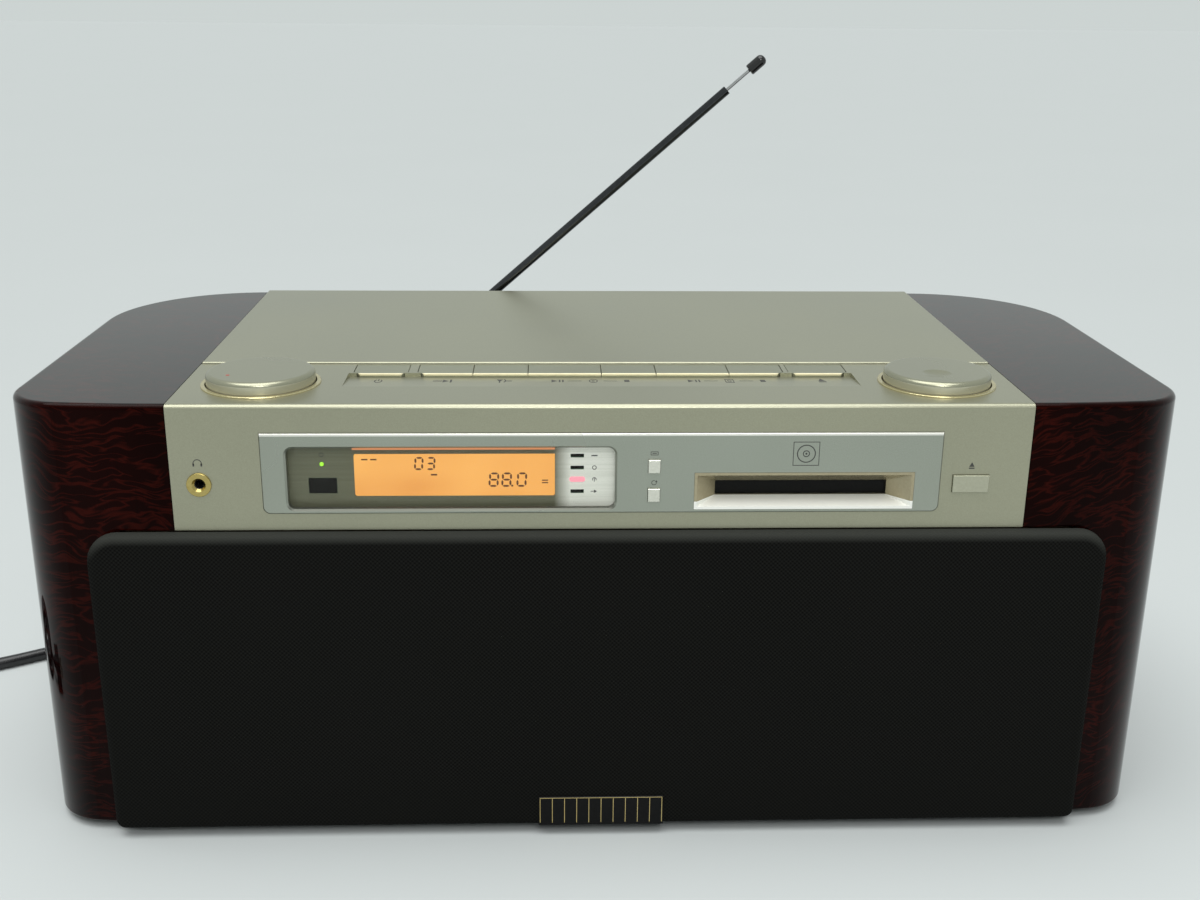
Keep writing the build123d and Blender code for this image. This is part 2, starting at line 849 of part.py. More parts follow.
def knob(side):
    x = side * knob_x
    low = body_top - knob_skirt
    top = body_top + knob_rise
    body = upright(x, knob_y, low, top, knob_radius)
    body = fillet(edges_at_top(body, top), knob_edge_round)
    hollow = upright(x, knob_y, low - 1, top - knob_wall, knob_radius - knob_wall)
    hub = upright(x, knob_y, low, top - knob_wall, knob_hub)
    body = body - (hollow - hub)
    return body + upright(x, knob_y, control_board_top + 0.6, low, knob_shaft)


def tuning_knob():
    top = body_top + knob_rise
    ball = (dimple_radius ** 2 + dimple_depth ** 2) / (2 * dimple_depth)
    dimple_x = knob_x - dimple_offset_x
    dimple_y = knob_y - dimple_offset_y
    return knob(1) - Pos(dimple_x, dimple_y, top + ball - dimple_depth) * Sphere(ball)


# Plan of a key, grown by the gap for the hole in the deck. A cut front corner narrows the key's front.
def key_plan(left, width, left_cut, right_cut, grow):
    front = key_front - grow
    back = key_front + key_depth + grow
    x0 = left - grow
    x1 = left + width + grow
    cut_left = key_corner if left_cut else 0
    cut_right = key_corner if right_cut else 0
    points = [(x0, back), (x0, front + cut_left)]
    if left_cut:
        points.append((x0 + cut_left, front))
    if right_cut:
        points.append((x1 - cut_right, front))
    points += [(x1, front + cut_right), (x1, back)]
    return make_face(Polyline(*points, close=True))


# Name, left edge, width and which front corners are cut
def keys():
    row = [("power_key", power_key_left, power_key_width, True, True)]
    strip = [("line_key", small_key_width), ("radio_key", small_key_width), ("cd_play_key", play_key_width),
             ("cd_stop_key", small_key_width), ("md_play_key", play_key_width),
             ("md_stop_key", small_key_width)]
    left = strip_left
    for name, width in strip:
        row.append((name, left, width, name == strip[0][0], name == strip[-1][0]))
        left += width
    row.append(("open_close_key", open_key_left, open_key_width, True, True))
    return row


# Left edge, width and corner cuts of each hole in the deck
def key_groups():
    row = keys()
    strip_width = row[-2][1] + row[-2][2] - strip_left
    return [row[0][1:], (strip_left, strip_width, True, True), row[-1][1:]]


def key(left, width, left_cut, right_cut):
    half_gap = key_gap / 2
    x0 = left if left_cut else left + half_gap
    x1 = left + width if right_cut else left + width - half_gap
    plan = key_plan(x0, x1 - x0, left_cut, right_cut, 0)
    cap = Pos(0, 0, body_top - key_height) * extrude(plan, key_height)
    cap = fillet(edges_at_top(cap, body_top), key_edge_round)
    stem = upright(left + width / 2, key_front + key_depth / 2, body_top - key_height - key_stem_length,
                   body_top - key_height, key_stem)
    return cap + stem


# The board under the control deck, with a switch under each key, the volume pot and the jog encoder
def control_board():
    low = control_board_top - board_wall
    board = block(-metal_half + 4, metal_half - 4, front_board_y + board_wall + 2, deck_depth - 1, low,
                  control_board_top)
    pieces = [board]
    switch_top = body_top - key_height - key_stem_length - key_travel - 0.1
    for name, left, width, left_cut, right_cut in keys():
        x = left + width / 2
        y = key_front + key_depth / 2
        pieces.append(block(x - switch_size / 2, x + switch_size / 2, y - switch_size / 2,
                            y + switch_size / 2,
                            control_board_top, switch_top))
    for side in (-1, 1):
        x = side * knob_x
        pot = block(x - pot_size / 2, x + pot_size / 2, knob_y - pot_size / 2, knob_y + pot_size / 2,
                    control_board_top, control_board_top + pot_height)
        pieces.append(pot - upright(x, knob_y, control_board_top + 0.5, body_top, knob_shaft + pin_gap))
    return join(pieces)


def cd_lid():
    body = block(-lid_half, lid_half, lid_front, body_depth, lid_top - lid_rim, lid_top)
    body = fillet(edges_at_top(body, lid_top), lid_edge_round)
    body -= block(-lid_half + lid_rim_wall, lid_half - lid_rim_wall, lid_front + lid_rim_wall,
                  body_depth - lid_rim_wall, 0, liner_top)
    skirt = block(-lid_half, lid_half, body_depth - lid_rim_wall, body_depth, lid_top - lid_skirt,
                  lid_top - lid_rim)
    return body + skirt


# Liner under the lid with the two hinge arms, their trunnions and the toothed sector
def lid_liner():
    inset = lid_rim_wall + liner_gap
    plate = block(-lid_half + inset, lid_half - inset, lid_front + inset, body_depth - lid_rim_wall - 0.5,
                  liner_bottom, liner_top)
    pieces = [plate]
    for side in (-1, 1):
        near = side * (hinge_x - arm_wall / 2)
        far = side * (hinge_x + arm_wall / 2)
        x0, x1 = min(near, far), max(near, far)
        pieces.append(block(x0, x1, hinge_y - arm_radius - 2, hinge_y + arm_radius, hinge_z, liner_bottom))
        pieces.append(along_x(hinge_y, hinge_z, x0, x1, arm_radius))
        tip = side * (hinge_x + arm_wall / 2 + seam_gap + ear_wall)
        pieces.append(along_x(hinge_y, hinge_z, min(far, tip), max(far, tip), trunnion_radius))
    pieces.append(toothed_sector())
    pieces.append(along_x(hinge_y, hinge_z, gear_x - gear_wall / 2, hinge_x, arm_radius))
    return join(pieces)


def involute_swing(radius, base_radius):
    slope = acos(min(1.0, base_radius / radius))
    return tan(slope) - slope


# Half the angle that a tooth fills at some radius, in radians
def half_tooth(radius, pitch_radius):
    base_radius = pitch_radius * cos(radians(pressure_angle))
    thickness = pi * tooth_module / 2 - tooth_backlash
    at_pitch = thickness / (2 * pitch_radius) + involute_swing(pitch_radius, base_radius)
    return at_pitch - involute_swing(max(radius, base_radius), base_radius)


def tooth_radii(pitch_radius):
    root = pitch_radius - 1.25 * tooth_module
    tip = pitch_radius + tooth_module
    steps = 5
    return [root + (tip - root) * step / steps for step in range(steps + 1)]


def gear_point(radius, angle):
    return radius * cos(angle), radius * sin(angle)


# One tooth about the given direction, with its foot a little inside the root circle
def tooth_points(pitch_radius, direction):
    radii = tooth_radii(pitch_radius)
    rising = [gear_point(radius, direction - half_tooth(radius, pitch_radius)) for radius in radii]
    falling = [gear_point(radius, direction + half_tooth(radius, pitch_radius)) for radius in reversed(radii)]
    return rising + falling


# The sector's teeth that pass the pinion while the lid opens, and a margin at both ends, in the YZ plane.
def toothed_sector():
    pitch_angle = 360.0 / sector_teeth
    first = floor(-sector_margin / pitch_angle)
    last = ceil((lid_opening + sector_margin) / pitch_angle)
    start = mesh_angle + (first - 0.5) * pitch_angle
    end = min(mesh_angle + (last + 0.5) * pitch_angle, 272.0)
    last = floor((end - mesh_angle) / pitch_angle - 0.4)
    root = sector_radius - 1.25 * tooth_module
    points = [(0, 0), gear_point(root + 0.05, radians(start))]
    for number in range(first, last + 1):
        points += tooth_points(sector_radius, radians(mesh_angle + number * pitch_angle))
    points.append(gear_point(root + 0.05, radians(mesh_angle + (last + 0.5) * pitch_angle)))
    face = make_face(Polyline(*points, close=True))
    sector = extrude(Plane.YZ * face, gear_wall)
    return Pos(gear_x - gear_wall / 2, hinge_y, hinge_z) * sector


# The pinion on the motor's shaft, with a gap between teeth facing the sector
def lid_drive_gear():
    pitch_angle = 360.0 / pinion_teeth
    points = []
    for number in range(pinion_teeth):
        direction = mesh_angle + 180 + (number + 0.5) * pitch_angle
        points += tooth_points(pinion_radius, radians(direction))
    gear = extrude(Plane.YZ * make_face(Polyline(*points, close=True)), gear_wall)
    gear = Pos(gear_x - gear_wall / 2, pinion_y, pinion_z) * gear
    return gear + along_x(pinion_y, pinion_z, gear_x - gear_wall / 2 - lid_motor_length / 2, gear_x,
                          pinion_shaft)


def lid_motor():
    right = gear_x - gear_wall / 2 - 0.4
    can = along_x(pinion_y, pinion_z, right - lid_motor_length, right, lid_motor_radius)
    hanger = block(right - lid_motor_length, right - lid_motor_length / 2, pinion_y - lid_motor_radius,
                   pinion_y + lid_motor_radius, pinion_z, well_underside)
    return can + hanger - along_x(pinion_y, pinion_z, right - lid_motor_length / 2 - 1, right + 1,
                                  pinion_shaft + pin_gap)


# The black deck under the lid: plate, round well, hinge ears and the slot for the toothed sector
def cd_well():
    half = metal_half
    plate = block(-half, half, deck_depth + 0.5, well_back, well_underside, well_top)
    plate += upright(0, well_y, well_floor - well_wall, well_top, well_radius + well_wall)
    plate -= upright(0, well_y, well_floor, well_top + 1, well_radius)
    plate -= upright(0, well_y, well_floor - well_wall - 1, well_top, turntable_hole)
    plate -= block(pickup_inner - lens_mount, pickup_inner + pickup_travel + lens_mount / 2 + 1,
                   well_y - pickup_slot_half, well_y + pickup_slot_half, well_floor - well_wall - 1, well_top)
    plate -= block(gear_x - gear_wall, gear_x + gear_wall, hinge_y - sector_radius - 2, well_back + 1,
                   well_underside - 1, well_top + 1)
    for side in (-1, 1):
        inner = side * (hinge_x + arm_wall / 2 + seam_gap)
        outer = side * (hinge_x + arm_wall / 2 + seam_gap + ear_wall)
        x0, x1 = min(inner, outer), max(inner, outer)
        ear = block(x0, x1, hinge_y - ear_length, hinge_y, hinge_z - arm_radius, hinge_z + arm_radius)
        ear += along_x(hinge_y, hinge_z, x0, x1, arm_radius)
        plate += ear - along_x(hinge_y, hinge_z, x0 - 1, x1 + 1, trunnion_radius + pin_gap)
    return plate


def cd_turntable():
    seat = upright(0, well_y, disc_seat - turntable_wall, disc_seat, turntable_radius)
    hub = upright(0, well_y, disc_seat, disc_seat + disc_hub_height, disc_hub_radius)
    cone_z = disc_seat + disc_hub_height + disc_hub_cone / 2
    hub += Pos(0, well_y, cone_z) * Cone(disc_hub_radius, disc_hub_radius - disc_hub_cone, disc_hub_cone)
    low = disc_seat - turntable_wall - spindle_length
    return seat + hub + upright(0, well_y, low, disc_seat - turntable_wall, spindle_radius)


# Frame plate with the spindle motor, the pickup's two rods and four posts under the well
def cd_mechanism():
    plate = block(-mechanism_left, mechanism_right, well_y - mechanism_half_depth,
                  well_y + mechanism_half_depth,
                  mechanism_top - mechanism_wall, mechanism_top)
    pieces = [plate]
    motor_low = mechanism_top - mechanism_wall - spindle_motor_height
    pieces.append(upright(0, well_y, motor_low, mechanism_top + 2, spindle_motor_radius))
    inset = mechanism_post + 0.5
    for x in (-mechanism_left + inset, mechanism_right - inset):
        for y in (well_y - mechanism_half_depth + inset, well_y + mechanism_half_depth - inset):
            top = well_underside if (x ** 2 + (y - well_y) ** 2) ** 0.5 > well_radius + well_wall + inset \
                else well_floor - well_wall
            pieces.append(upright(x, y, mechanism_top - mechanism_wall, top, mechanism_post))
    rod_start = pickup_inner - pickup_width / 2 - pickup_margin
    rod_end = pickup_inner + pickup_travel + pickup_width / 2 + 1.0
    for side in (-1, 1):
        y = well_y + side * rod_spacing / 2
        pieces.append(along_x(y, rod_z, rod_start, rod_end, rod_radius))
        for x in (rod_start, rod_end - 1.0):
            pieces.append(block(x, x + 1.5, y - rod_radius - 1, y + rod_radius + 1, mechanism_top,
                                rod_z + rod_radius + 1))
    frame = join(pieces)
    return frame - upright(0, well_y, motor_low - 1, mechanism_top + 3, spindle_radius + pin_gap)


def cd_pickup():
    x0 = pickup_inner - pickup_width / 2
    x1 = pickup_inner + pickup_width / 2
    y_half = rod_spacing / 2 + rod_radius + 2
    low = rod_z - pickup_height / 2
    body = block(x0, x1, well_y - y_half, well_y + y_half, low, low + pickup_height)
    body += block(pickup_inner - lens_mount / 2, pickup_inner + lens_mount / 2, well_y - lens_mount / 2,
                  well_y + lens_mount / 2, low, well_floor - 0.5)
    body += upright(pickup_inner, well_y, well_floor - 0.5, well_floor + 0.5, lens_radius)
    for side in (-1, 1):
        body -= along_x(well_y + side * rod_spacing / 2, rod_z, x0 - 1, x1 + 1, rod_radius + pin_gap)
    return body


def baffle_board():
    board = block(-baffle_width / 2, baffle_width / 2, baffle_y, baffle_y + baffle_wall, floor_top,
                  grille_top + 0.3)
    hole = basket_outer_radius() + 0.3
    for side in (-1, 1):
        board -= along_y(side * speaker_x, speaker_z, baffle_y - 1, baffle_y + baffle_wall + 1, hole)
    for x, z in peg_places():
        board -= along_y(x, z, baffle_y - 1, baffle_y + baffle_wall + 1, peg_radius + peg_gap)
    return board


def basket_outer_radius():
    return speaker_opening + 3.0


# Frame, basket and magnet of one speaker, turned about its own axis
def speaker_frame(side):
    front = baffle_y - speaker_flange_wall
    neck = baffle_y + basket_depth
    back = neck + magnet_depth
    outline = [(speaker_flange_radius, front), (speaker_flange_radius, baffle_y),
               (basket_outer_radius(), baffle_y),
               (basket_neck, neck), (magnet_radius, neck), (magnet_radius, back), (0, back), (0, neck),
               (coil_gap_inner, neck), (coil_gap_inner, back - 6), (coil_gap_outer, back - 6),
               (coil_gap_outer, neck - 1.5), (basket_neck - 2, neck - 1.5), (speaker_opening, baffle_y + 1),
               (speaker_opening, front)]
    return Pos(side * speaker_x, 0, speaker_z) * revolve(make_face(Polyline(*outline, close=True)), Axis.Y)


def speaker_frames():
    return speaker_frame(-1) + speaker_frame(1)


def speaker_cone(side):
    front = baffle_y - speaker_flange_wall + 0.5
    rim = speaker_opening - cone_gap
    former = (coil_gap_inner + coil_gap_outer) / 2
    half = 0.35
    neck = baffle_y + basket_depth - 7
    end = baffle_y + basket_depth + 6
    outline = [(rim, front), (rim - 4, front + 0.8), (former + half, neck - 2), (0, neck - 5.5),
               (0, neck - 5.5 + cone_wall), (former - half, neck - 1), (former - half, end),
               (former + half, end),
               (former + half, neck), (rim - 4, front + 0.8 + cone_wall), (rim, front + cone_wall)]
    return Pos(side * speaker_x, 0, speaker_z) * revolve(make_face(Polyline(*outline, close=True)), Axis.Y)


def peg_places():
    x = grille_width / 2 - peg_inset
    low = foot_height + peg_inset_z
    high = grille_top - peg_inset_z
    return [(-x, low), (x, low), (-x, high), (x, high)]


# The grille's outer form, drawn in by some thickness for the frame under the cloth
def grille_form(inset):
    half = grille_width / 2 - inset
    form = standing_plate(-half, half, foot_height + inset, grille_top - inset, grille_front + inset,
                          -grille_back,
                          grille_corner_bottom - inset, grille_corner_top - inset)
    return fillet(edges_at_front(form, grille_front + inset), grille_edge - inset)


def grille_cloth():
    return grille_form(0) - grille_form(cloth_wall)


def grille_frame():
    frame = grille_form(cloth_wall)
    half = grille_width / 2 - grille_border
    for side in (-1, 1):
        inner = side * grille_bar / 2
        outer = side * half
        frame -= block(min(inner, outer), max(inner, outer), grille_front - 1, 0, foot_height + grille_border,
                       grille_top - grille_border)
    pegs = [along_y(x, z, -grille_back, -grille_back + peg_length, peg_radius) for x, z in peg_places()]
    return join([frame] + pegs)


def badge_plate():
    low = foot_height + badge_lift
    plate = block(-badge_width / 2, badge_width / 2, grille_front - badge_wall, grille_front, low,
                  low + badge_height)
    return chamfer(edges_at_front(plate, grille_front - badge_wall), badge_bevel)


# Floor, side flanges and four corner posts that carry the CD deck
def base_chassis():
    half = metal_half + seam_gap
    pieces = [block(-half, half, 0, back_inner, foot_height, floor_top)]
    for side in (-1, 1):
        outer = side * half
        inner = side * (half - flange_wall)
        x0, x1 = min(inner, outer), max(inner, outer)
        pieces.append(block(x0, x1, baffle_y + baffle_wall + 1, back_inner, floor_top,
                            floor_top + flange_height))
        inner = side * (half - chassis_post)
        x0, x1 = min(inner, outer), max(inner, outer)
        post_front = well_back - chassis_post_length
        pieces.append(block(x0, x1, post_front, back_inner, floor_top, hinge_z - hinge_clearance))
        pieces.append(block(x0, x1, post_front, well_back, floor_top, well_underside))
        pieces.append(block(x0, x1, deck_depth + 1, deck_depth + 1 + chassis_post_length, floor_top,
                            well_underside))
    chassis = join(pieces)
    for side in (-1, 1):
        for z in screw_heights():
            chassis -= along_y(side * screw_x(), z, back_inner - screw_length, back_inner + 1, screw_shank)
    return chassis


def screw_x():
    return metal_half + seam_gap - chassis_post / 2


def screw_heights():
    low = foot_height + screw_inset
    high = foot_height + back_height - screw_inset
    return [low + (high - low) * row / (screw_rows - 1) for row in range(screw_rows)]


def cover_screws():
    screws = []
    for side in (-1, 1):
        for z in screw_heights():
            x = side * screw_x()
            head = along_y(x, z, body_depth, body_depth + screw_head, screw_head_radius)
            far = [edge for edge in edges_at_front(head, body_depth + screw_head)]
            head = fillet(far, screw_head_round)
            screws.append(head + along_y(x, z, body_depth - screw_length + 0.2, body_depth, screw_shank))
    return join(screws)


def foot_places():
    x = metal_half - foot_inset_x
    return [(-x, foot_inset_y), (x, foot_inset_y), (-x, body_depth - foot_inset_y),
            (x, body_depth - foot_inset_y)]


def feet():
    return join([upright(x, y, 0, foot_height, foot_radius) for x, y in foot_places()])


def back_panel():
    half = metal_half + seam_gap
    panel = block(-half, half, back_inner, body_depth, foot_height, foot_height + back_height)
    panel -= along_y(antenna_x, antenna_z, back_inner - 1, body_depth + 1, antenna_boss_radius)
    for side in (-1, 1):
        panel -= along_y(jack_x + side * jack_spacing / 2, jack_z, back_inner - 1, body_depth + 1,
                         jack_radius + 0.1)
        for z in screw_heights():
            panel -= along_y(side * screw_x(), z, back_inner - 1, body_depth + 1, screw_shank)
    panel -= along_y(cord_exit_x, cord_exit_z, back_inner - 1, body_depth + 1, relief_root)
    # Rows of cooling slots over the heat sink
    slot_low = floor_top + cooling_slot_lift
    first = heat_sink_x - heat_sink_width / 2 + cooling_slot_inset
    pitch = (heat_sink_width - 2 * cooling_slot_inset) / (cooling_slots - 1)
    for number in range(cooling_slots):
        x = first + number * pitch
        panel -= block(x - cooling_slot_half, x + cooling_slot_half, back_inner - 1, body_depth + 1, slot_low,
                       slot_low + heat_sink_height)
    return panel


def main_board():
    low = floor_top + standoff_height
    top = low + board_wall
    pieces = [block(main_board_left, main_board_right, main_board_front, main_board_back, low, top)]
    for x in (main_board_left + board_inset, main_board_right - board_inset):
        for y in (main_board_front + board_inset, main_board_back - board_inset):
            pieces.append(upright(x, y, floor_top, low, standoff_radius))
    sink_left = heat_sink_x - heat_sink_width / 2
    sink_back = main_board_back
    pieces.append(block(sink_left, sink_left + heat_sink_width, sink_back - heat_sink_depth,
                        sink_back - heat_sink_depth + heat_sink_base, top, top + heat_sink_height))
    for number in range(fins):
        x = sink_left + number * (heat_sink_width - fin_wall) / (fins - 1)
        pieces.append(block(x, x + fin_wall, sink_back - heat_sink_depth, sink_back, top,
                            top + heat_sink_height))
    for number in range(capacitors):
        x = main_board_left + capacitor_inset_x + number * capacitor_pitch
        pieces.append(upright(x, main_board_front + capacitor_inset_y, top, top + capacitor_height,
                              capacitor_radius))
    return join(pieces)


def power_transformer():
    x0 = transformer_x - transformer_width / 2
    y0 = transformer_y - transformer_depth / 2
    core = block(x0, x0 + transformer_width, y0, y0 + transformer_depth, floor_top,
                 floor_top + transformer_height)
    bobbin = block(transformer_x - bobbin_width / 2, transformer_x + bobbin_width / 2, y0 - bobbin_bulge,
                   y0 + transformer_depth + bobbin_bulge, floor_top + bobbin_inset,
                   floor_top + transformer_height - bobbin_inset)
    return core + bobbin


def line_in_jacks():
    left = jack_x - jack_spacing
    body = block(left, jack_x + jack_spacing, back_inner - jack_body, back_inner, jack_z - jack_body / 2,
                 jack_z + jack_body / 2)
    for side in (-1, 1):
        x = jack_x + side * jack_spacing / 2
        body += along_y(x, jack_z, back_inner, body_depth + jack_neck_out, jack_neck_radius)
        body += along_y(x, jack_z, body_depth + jack_neck_out, body_depth + jack_length, jack_radius)
        body -= along_y(x, jack_z, body_depth - 1, body_depth + jack_length + 1, jack_bore)
    return body


# Flange and boss of the antenna on the back panel
def antenna_base():
    body = along_y(antenna_x, antenna_z, body_depth, body_depth + antenna_flange_wall, antenna_flange_radius)
    boss_end = body_depth + antenna_boss_length
    body += along_y(antenna_x, antenna_z, back_inner - 2, boss_end, antenna_boss_radius - 0.1)
    return body - along_y(antenna_x, antenna_z, back_inner - 3, boss_end + 1, swivel_radius + pin_gap)


# In the antenna's own frame X runs along the tubes, Y to the back and Z along the tilt pin
def place_antenna(piece):
    return Pos(antenna_x, antenna_y, antenna_z) * Rot(0, -antenna_elevation, 0) * piece


def antenna_knuckle():
    disc_front = body_depth + antenna_boss_length + 0.2 - antenna_y
    disc_back = disc_front + swivel_disc_wall
    shaft_start = back_inner - 4 - antenna_y
    body = along_y(0, 0, disc_front, disc_back, swivel_disc_radius)
    body += along_y(0, 0, shaft_start, disc_front, swivel_radius)
    slot = tang_wall / 2 + fork_gap
    for side in (-1, 1):
        inner = side * slot
        outer = side * (slot + fork_wall)
        z0, z1 = min(inner, outer), max(inner, outer)
        body += block(-fork_radius, fork_radius, disc_back - 0.5, 0, z0, z1)
        body += upright(0, 0, z0, z1, fork_radius)
    body += upright(0, 0, -slot - fork_wall, slot + fork_wall, fork_pin)
    return place_antenna(body)


def antenna_outer_tube():
    tang = block(0, tube_start + 2, -tube_radius, tube_radius, -tang_wall / 2, tang_wall / 2)
    tang += upright(0, 0, -tang_wall / 2, tang_wall / 2, tube_radius)
    tube = along_x(0, 0, tube_start, tube_end, tube_radius)
    tube -= along_x(0, 0, middle_start - 1, tube_end - tube_collar, tube_radius - tube_wall)
    tube -= along_x(0, 0, tube_end - tube_collar - 1, tube_end + 1, middle_radius() + pin_gap)
    body = tube + tang
    return place_antenna(body - upright(0, 0, -tang_wall, tang_wall, fork_pin + pin_gap))


def middle_radius():
    return tube_radius - tube_wall - tube_gap


def antenna_middle_tube():
    radius = middle_radius()
    tube = along_x(0, 0, middle_start, tube_end, radius)
    tube -= along_x(0, 0, middle_start + 1, tube_end - tube_collar, radius - tube_wall)
    return place_antenna(tube - along_x(0, 0, tube_end - tube_collar - 1, tube_end + 1, tip_radius + pin_gap))


def antenna_tip():
    shown_end = tube_end + tip_shown
    rod = along_x(0, 0, middle_start + 2, shown_end + 2, tip_radius)
    foot = along_x(0, 0, middle_start + 2, middle_start + 2 + tip_foot, middle_radius() - tube_wall - pin_gap)
    cap = along_x(0, 0, shown_end, shown_end + cap_length, cap_radius)
    cap = fillet(cap.edges().filter_by(GeomType.CIRCLE).sort_by(Axis.X)[-1], cap_radius - cap_flat_radius)
    cap = fillet(cap.edges().filter_by(GeomType.CIRCLE).sort_by(Axis.X)[0], cap_round)
    return place_antenna(rod + foot + cap)


def strain_relief():
    root = body_depth
    tip = root + relief_length
    plug = along_y(cord_exit_x, cord_exit_z, back_inner - 2, root + 0.5, relief_root - 0.1)
    flange = along_y(cord_exit_x, cord_exit_z, root, root + 2, relief_flange)
    taper = Pos(cord_exit_x, (root + tip) / 2 + 1, cord_exit_z) * Rot(-90, 0, 0) * Cone(
        relief_root, relief_tip, tip - root - 2)
    return plug + flange + taper


# The free stretch of the mains cord, from the strain relief to its coil. Its points are given from the
# cabinet's left side and back, follow the stretch that shows, and end in line with the coil's entry.
def cord_route():
    start = (cord_exit_x, body_depth + relief_length, cord_exit_z)
    low = cord_radius
    behind = [(cord_exit_x, 55.5, cord_exit_z), (cord_exit_x - 20, 86.5, 10.5), (left_side + 72, 87.5, 4.2),
              (left_side + 41, 57.5, low), (left_side + 17, 18.5, low)]
    beside = [(left_side - 18, -23.5, low), (left_side - 68.8, -58.5, low), (left_side - 104, -76.5, 3.5)]
    middle = [(x, body_depth + y, z) for x, y, z in behind + beside]
    end = coil_entry()
    turn = radians(coil_direction)
    before = (end[0] - cord_run_in * cos(turn), end[1] - cord_run_in * sin(turn), end[2])
    return [start] + middle + [before, end]


def coil_level():
    return tie_wall + tie_gap + cord_radius


def coil_entry():
    return coil_entry_x, coil_entry_y, coil_level()


def rounded_path(points):
    radii = []
    for before, corner, after in zip(points, points[1:], points[2:]):
        run_in = Vector(*corner) - Vector(*before)
        run_out = Vector(*after) - Vector(*corner)
        turn = radians(run_in.get_angle(run_out))
        radii.append(0.45 * min(run_in.length, run_out.length) / tan(turn / 2))
    print("cord radii", [round(radius, 1) for radius in radii])
    print("cord runs", [round((Vector(*after) - Vector(*before)).length, 1)
                        for before, after in zip(points, points[1:])])
    return FilletPolyline(*points, radius=radii)


def tube_along(path, name):
    section = Plane(origin=path @ 0, z_dir=path % 0) * Circle(cord_radius)
    tube = sweep(section, path=path)
    expected = pi * cord_radius ** 2 * path.length
    print(name, "length", round(path.length, 1), "volume share", round(tube.volume / expected, 5))
    return tube


def mains_cord():
    return tube_along(rounded_path(cord_route()), "mains_cord")


# Semicircles of the coil in its own frame: it starts at (coil_turn_radius, 0) and runs counterclockwise,
# spirals in on the lower layer, climbs in its inmost half turn and spirals out again on the upper layer.
def coil_arcs():
    low = 0.0
    high = coil_pitch
    radii = [coil_turn_radius - number * coil_pitch / 2 for number in range(coil_half_turns)]
    radii = radii + [coil_turn_radius - coil_half_turns * coil_pitch / 2] + radii[::-1]
    arcs = []
    x = coil_turn_radius
    for number, radius in enumerate(radii):
        way = 1 if number % 2 == 0 else -1
        z0 = low if number <= coil_half_turns else high
        z1 = low if number < coil_half_turns else high
        start = Vector(x, 0, z0)
        end = Vector(x - way * 2 * radius, 0, z1)
        reach = (end - start).length / 2
        arcs.append((start, (start + end) / 2 + Vector(0, way * reach, 0), end))
        x = end.X
    return arcs


# Where the coil's own frame lies: its entry meets the free cord and runs on in the same direction
def coil_place():
    entry = coil_entry()
    spin = coil_direction - 90
    lead = 2 * cord_radius
    turn = radians(coil_direction)
    start_x = entry[0] + lead * cos(turn)
    start_y = entry[1] + lead * sin(turn)
    centre_x = start_x - coil_turn_radius * cos(radians(spin))
    centre_y = start_y - coil_turn_radius * sin(radians(spin))
    return Pos(centre_x, centre_y, entry[2]) * Rot(0, 0, spin)


def cord_coil():
    arcs = coil_arcs() + [tail_arc()]
    lead = 2 * cord_radius
    first = arcs[0][0]
    last = arcs[-1][2]
    lines = [Line(first - Vector(0, lead, 0), first)]
    lines += [ThreePointArc(*arc) for arc in arcs]
    lines.append(Line(last, last + Vector(tail_way() * lead, 0, 0)))
    print_coil_gap(arcs)
    return coil_place() * tube_along(Wire(lines), "cord_coil")


# The coil ends on its left side after an odd number of half turns and on its right after an even number
def tail_way():
    return -1 if len(coil_arcs()) % 2 else 1


# Quarter turn that leads the coil's end away from it
def tail_arc():
    start = coil_arcs()[-1][2]
    way = tail_way()
    slant = coil_tail_radius * sin(radians(45))
    middle = start + Vector(way * (coil_tail_radius - slant), way * slant, 0)
    return start, middle, start + Vector(way * coil_tail_radius, way * coil_tail_radius, 0)


# Least distance between the turns, measured on points along the arcs that lie more than a quarter turn apart
def print_coil_gap(arcs):
    points = []
    steps = 24
    for arc in arcs:
        curve = ThreePointArc(*arc)
        points += [curve @ (step / steps) for step in range(steps)]
    apart = steps // 2
    nearest = min((a - b).length for i, a in enumerate(points) for b in points[i + apart:])
    print("coil gap", round(nearest - 2 * cord_radius, 2))


# The lower and the upper turns have their centres half a pitch to either side of the tie
def cord_tie():
    inner = coil_turn_radius - (coil_half_turns - 1) * coil_pitch / 2
    outer = coil_turn_radius - coil_pitch / 2
    aside = coil_pitch / 2 + tie_width / 2
    near = -((inner ** 2 - aside ** 2) ** 0.5 - cord_radius - tie_gap)
    far = -(outer + cord_radius + tie_gap)
    low = -cord_radius - tie_gap
    high = coil_pitch + cord_radius + tie_gap
    band = block(-tie_width / 2, tie_width / 2, far - tie_wall, near + tie_wall, low - tie_wall,
                 high + tie_wall)
    band = fillet(band.edges().filter_by(Axis.X), tie_round + tie_wall)
    hole = block(-tie_width, tie_width, far, near, low, high)
    hole = fillet(hole.edges().filter_by(Axis.X), tie_round)
    return coil_place() * (band - hole)


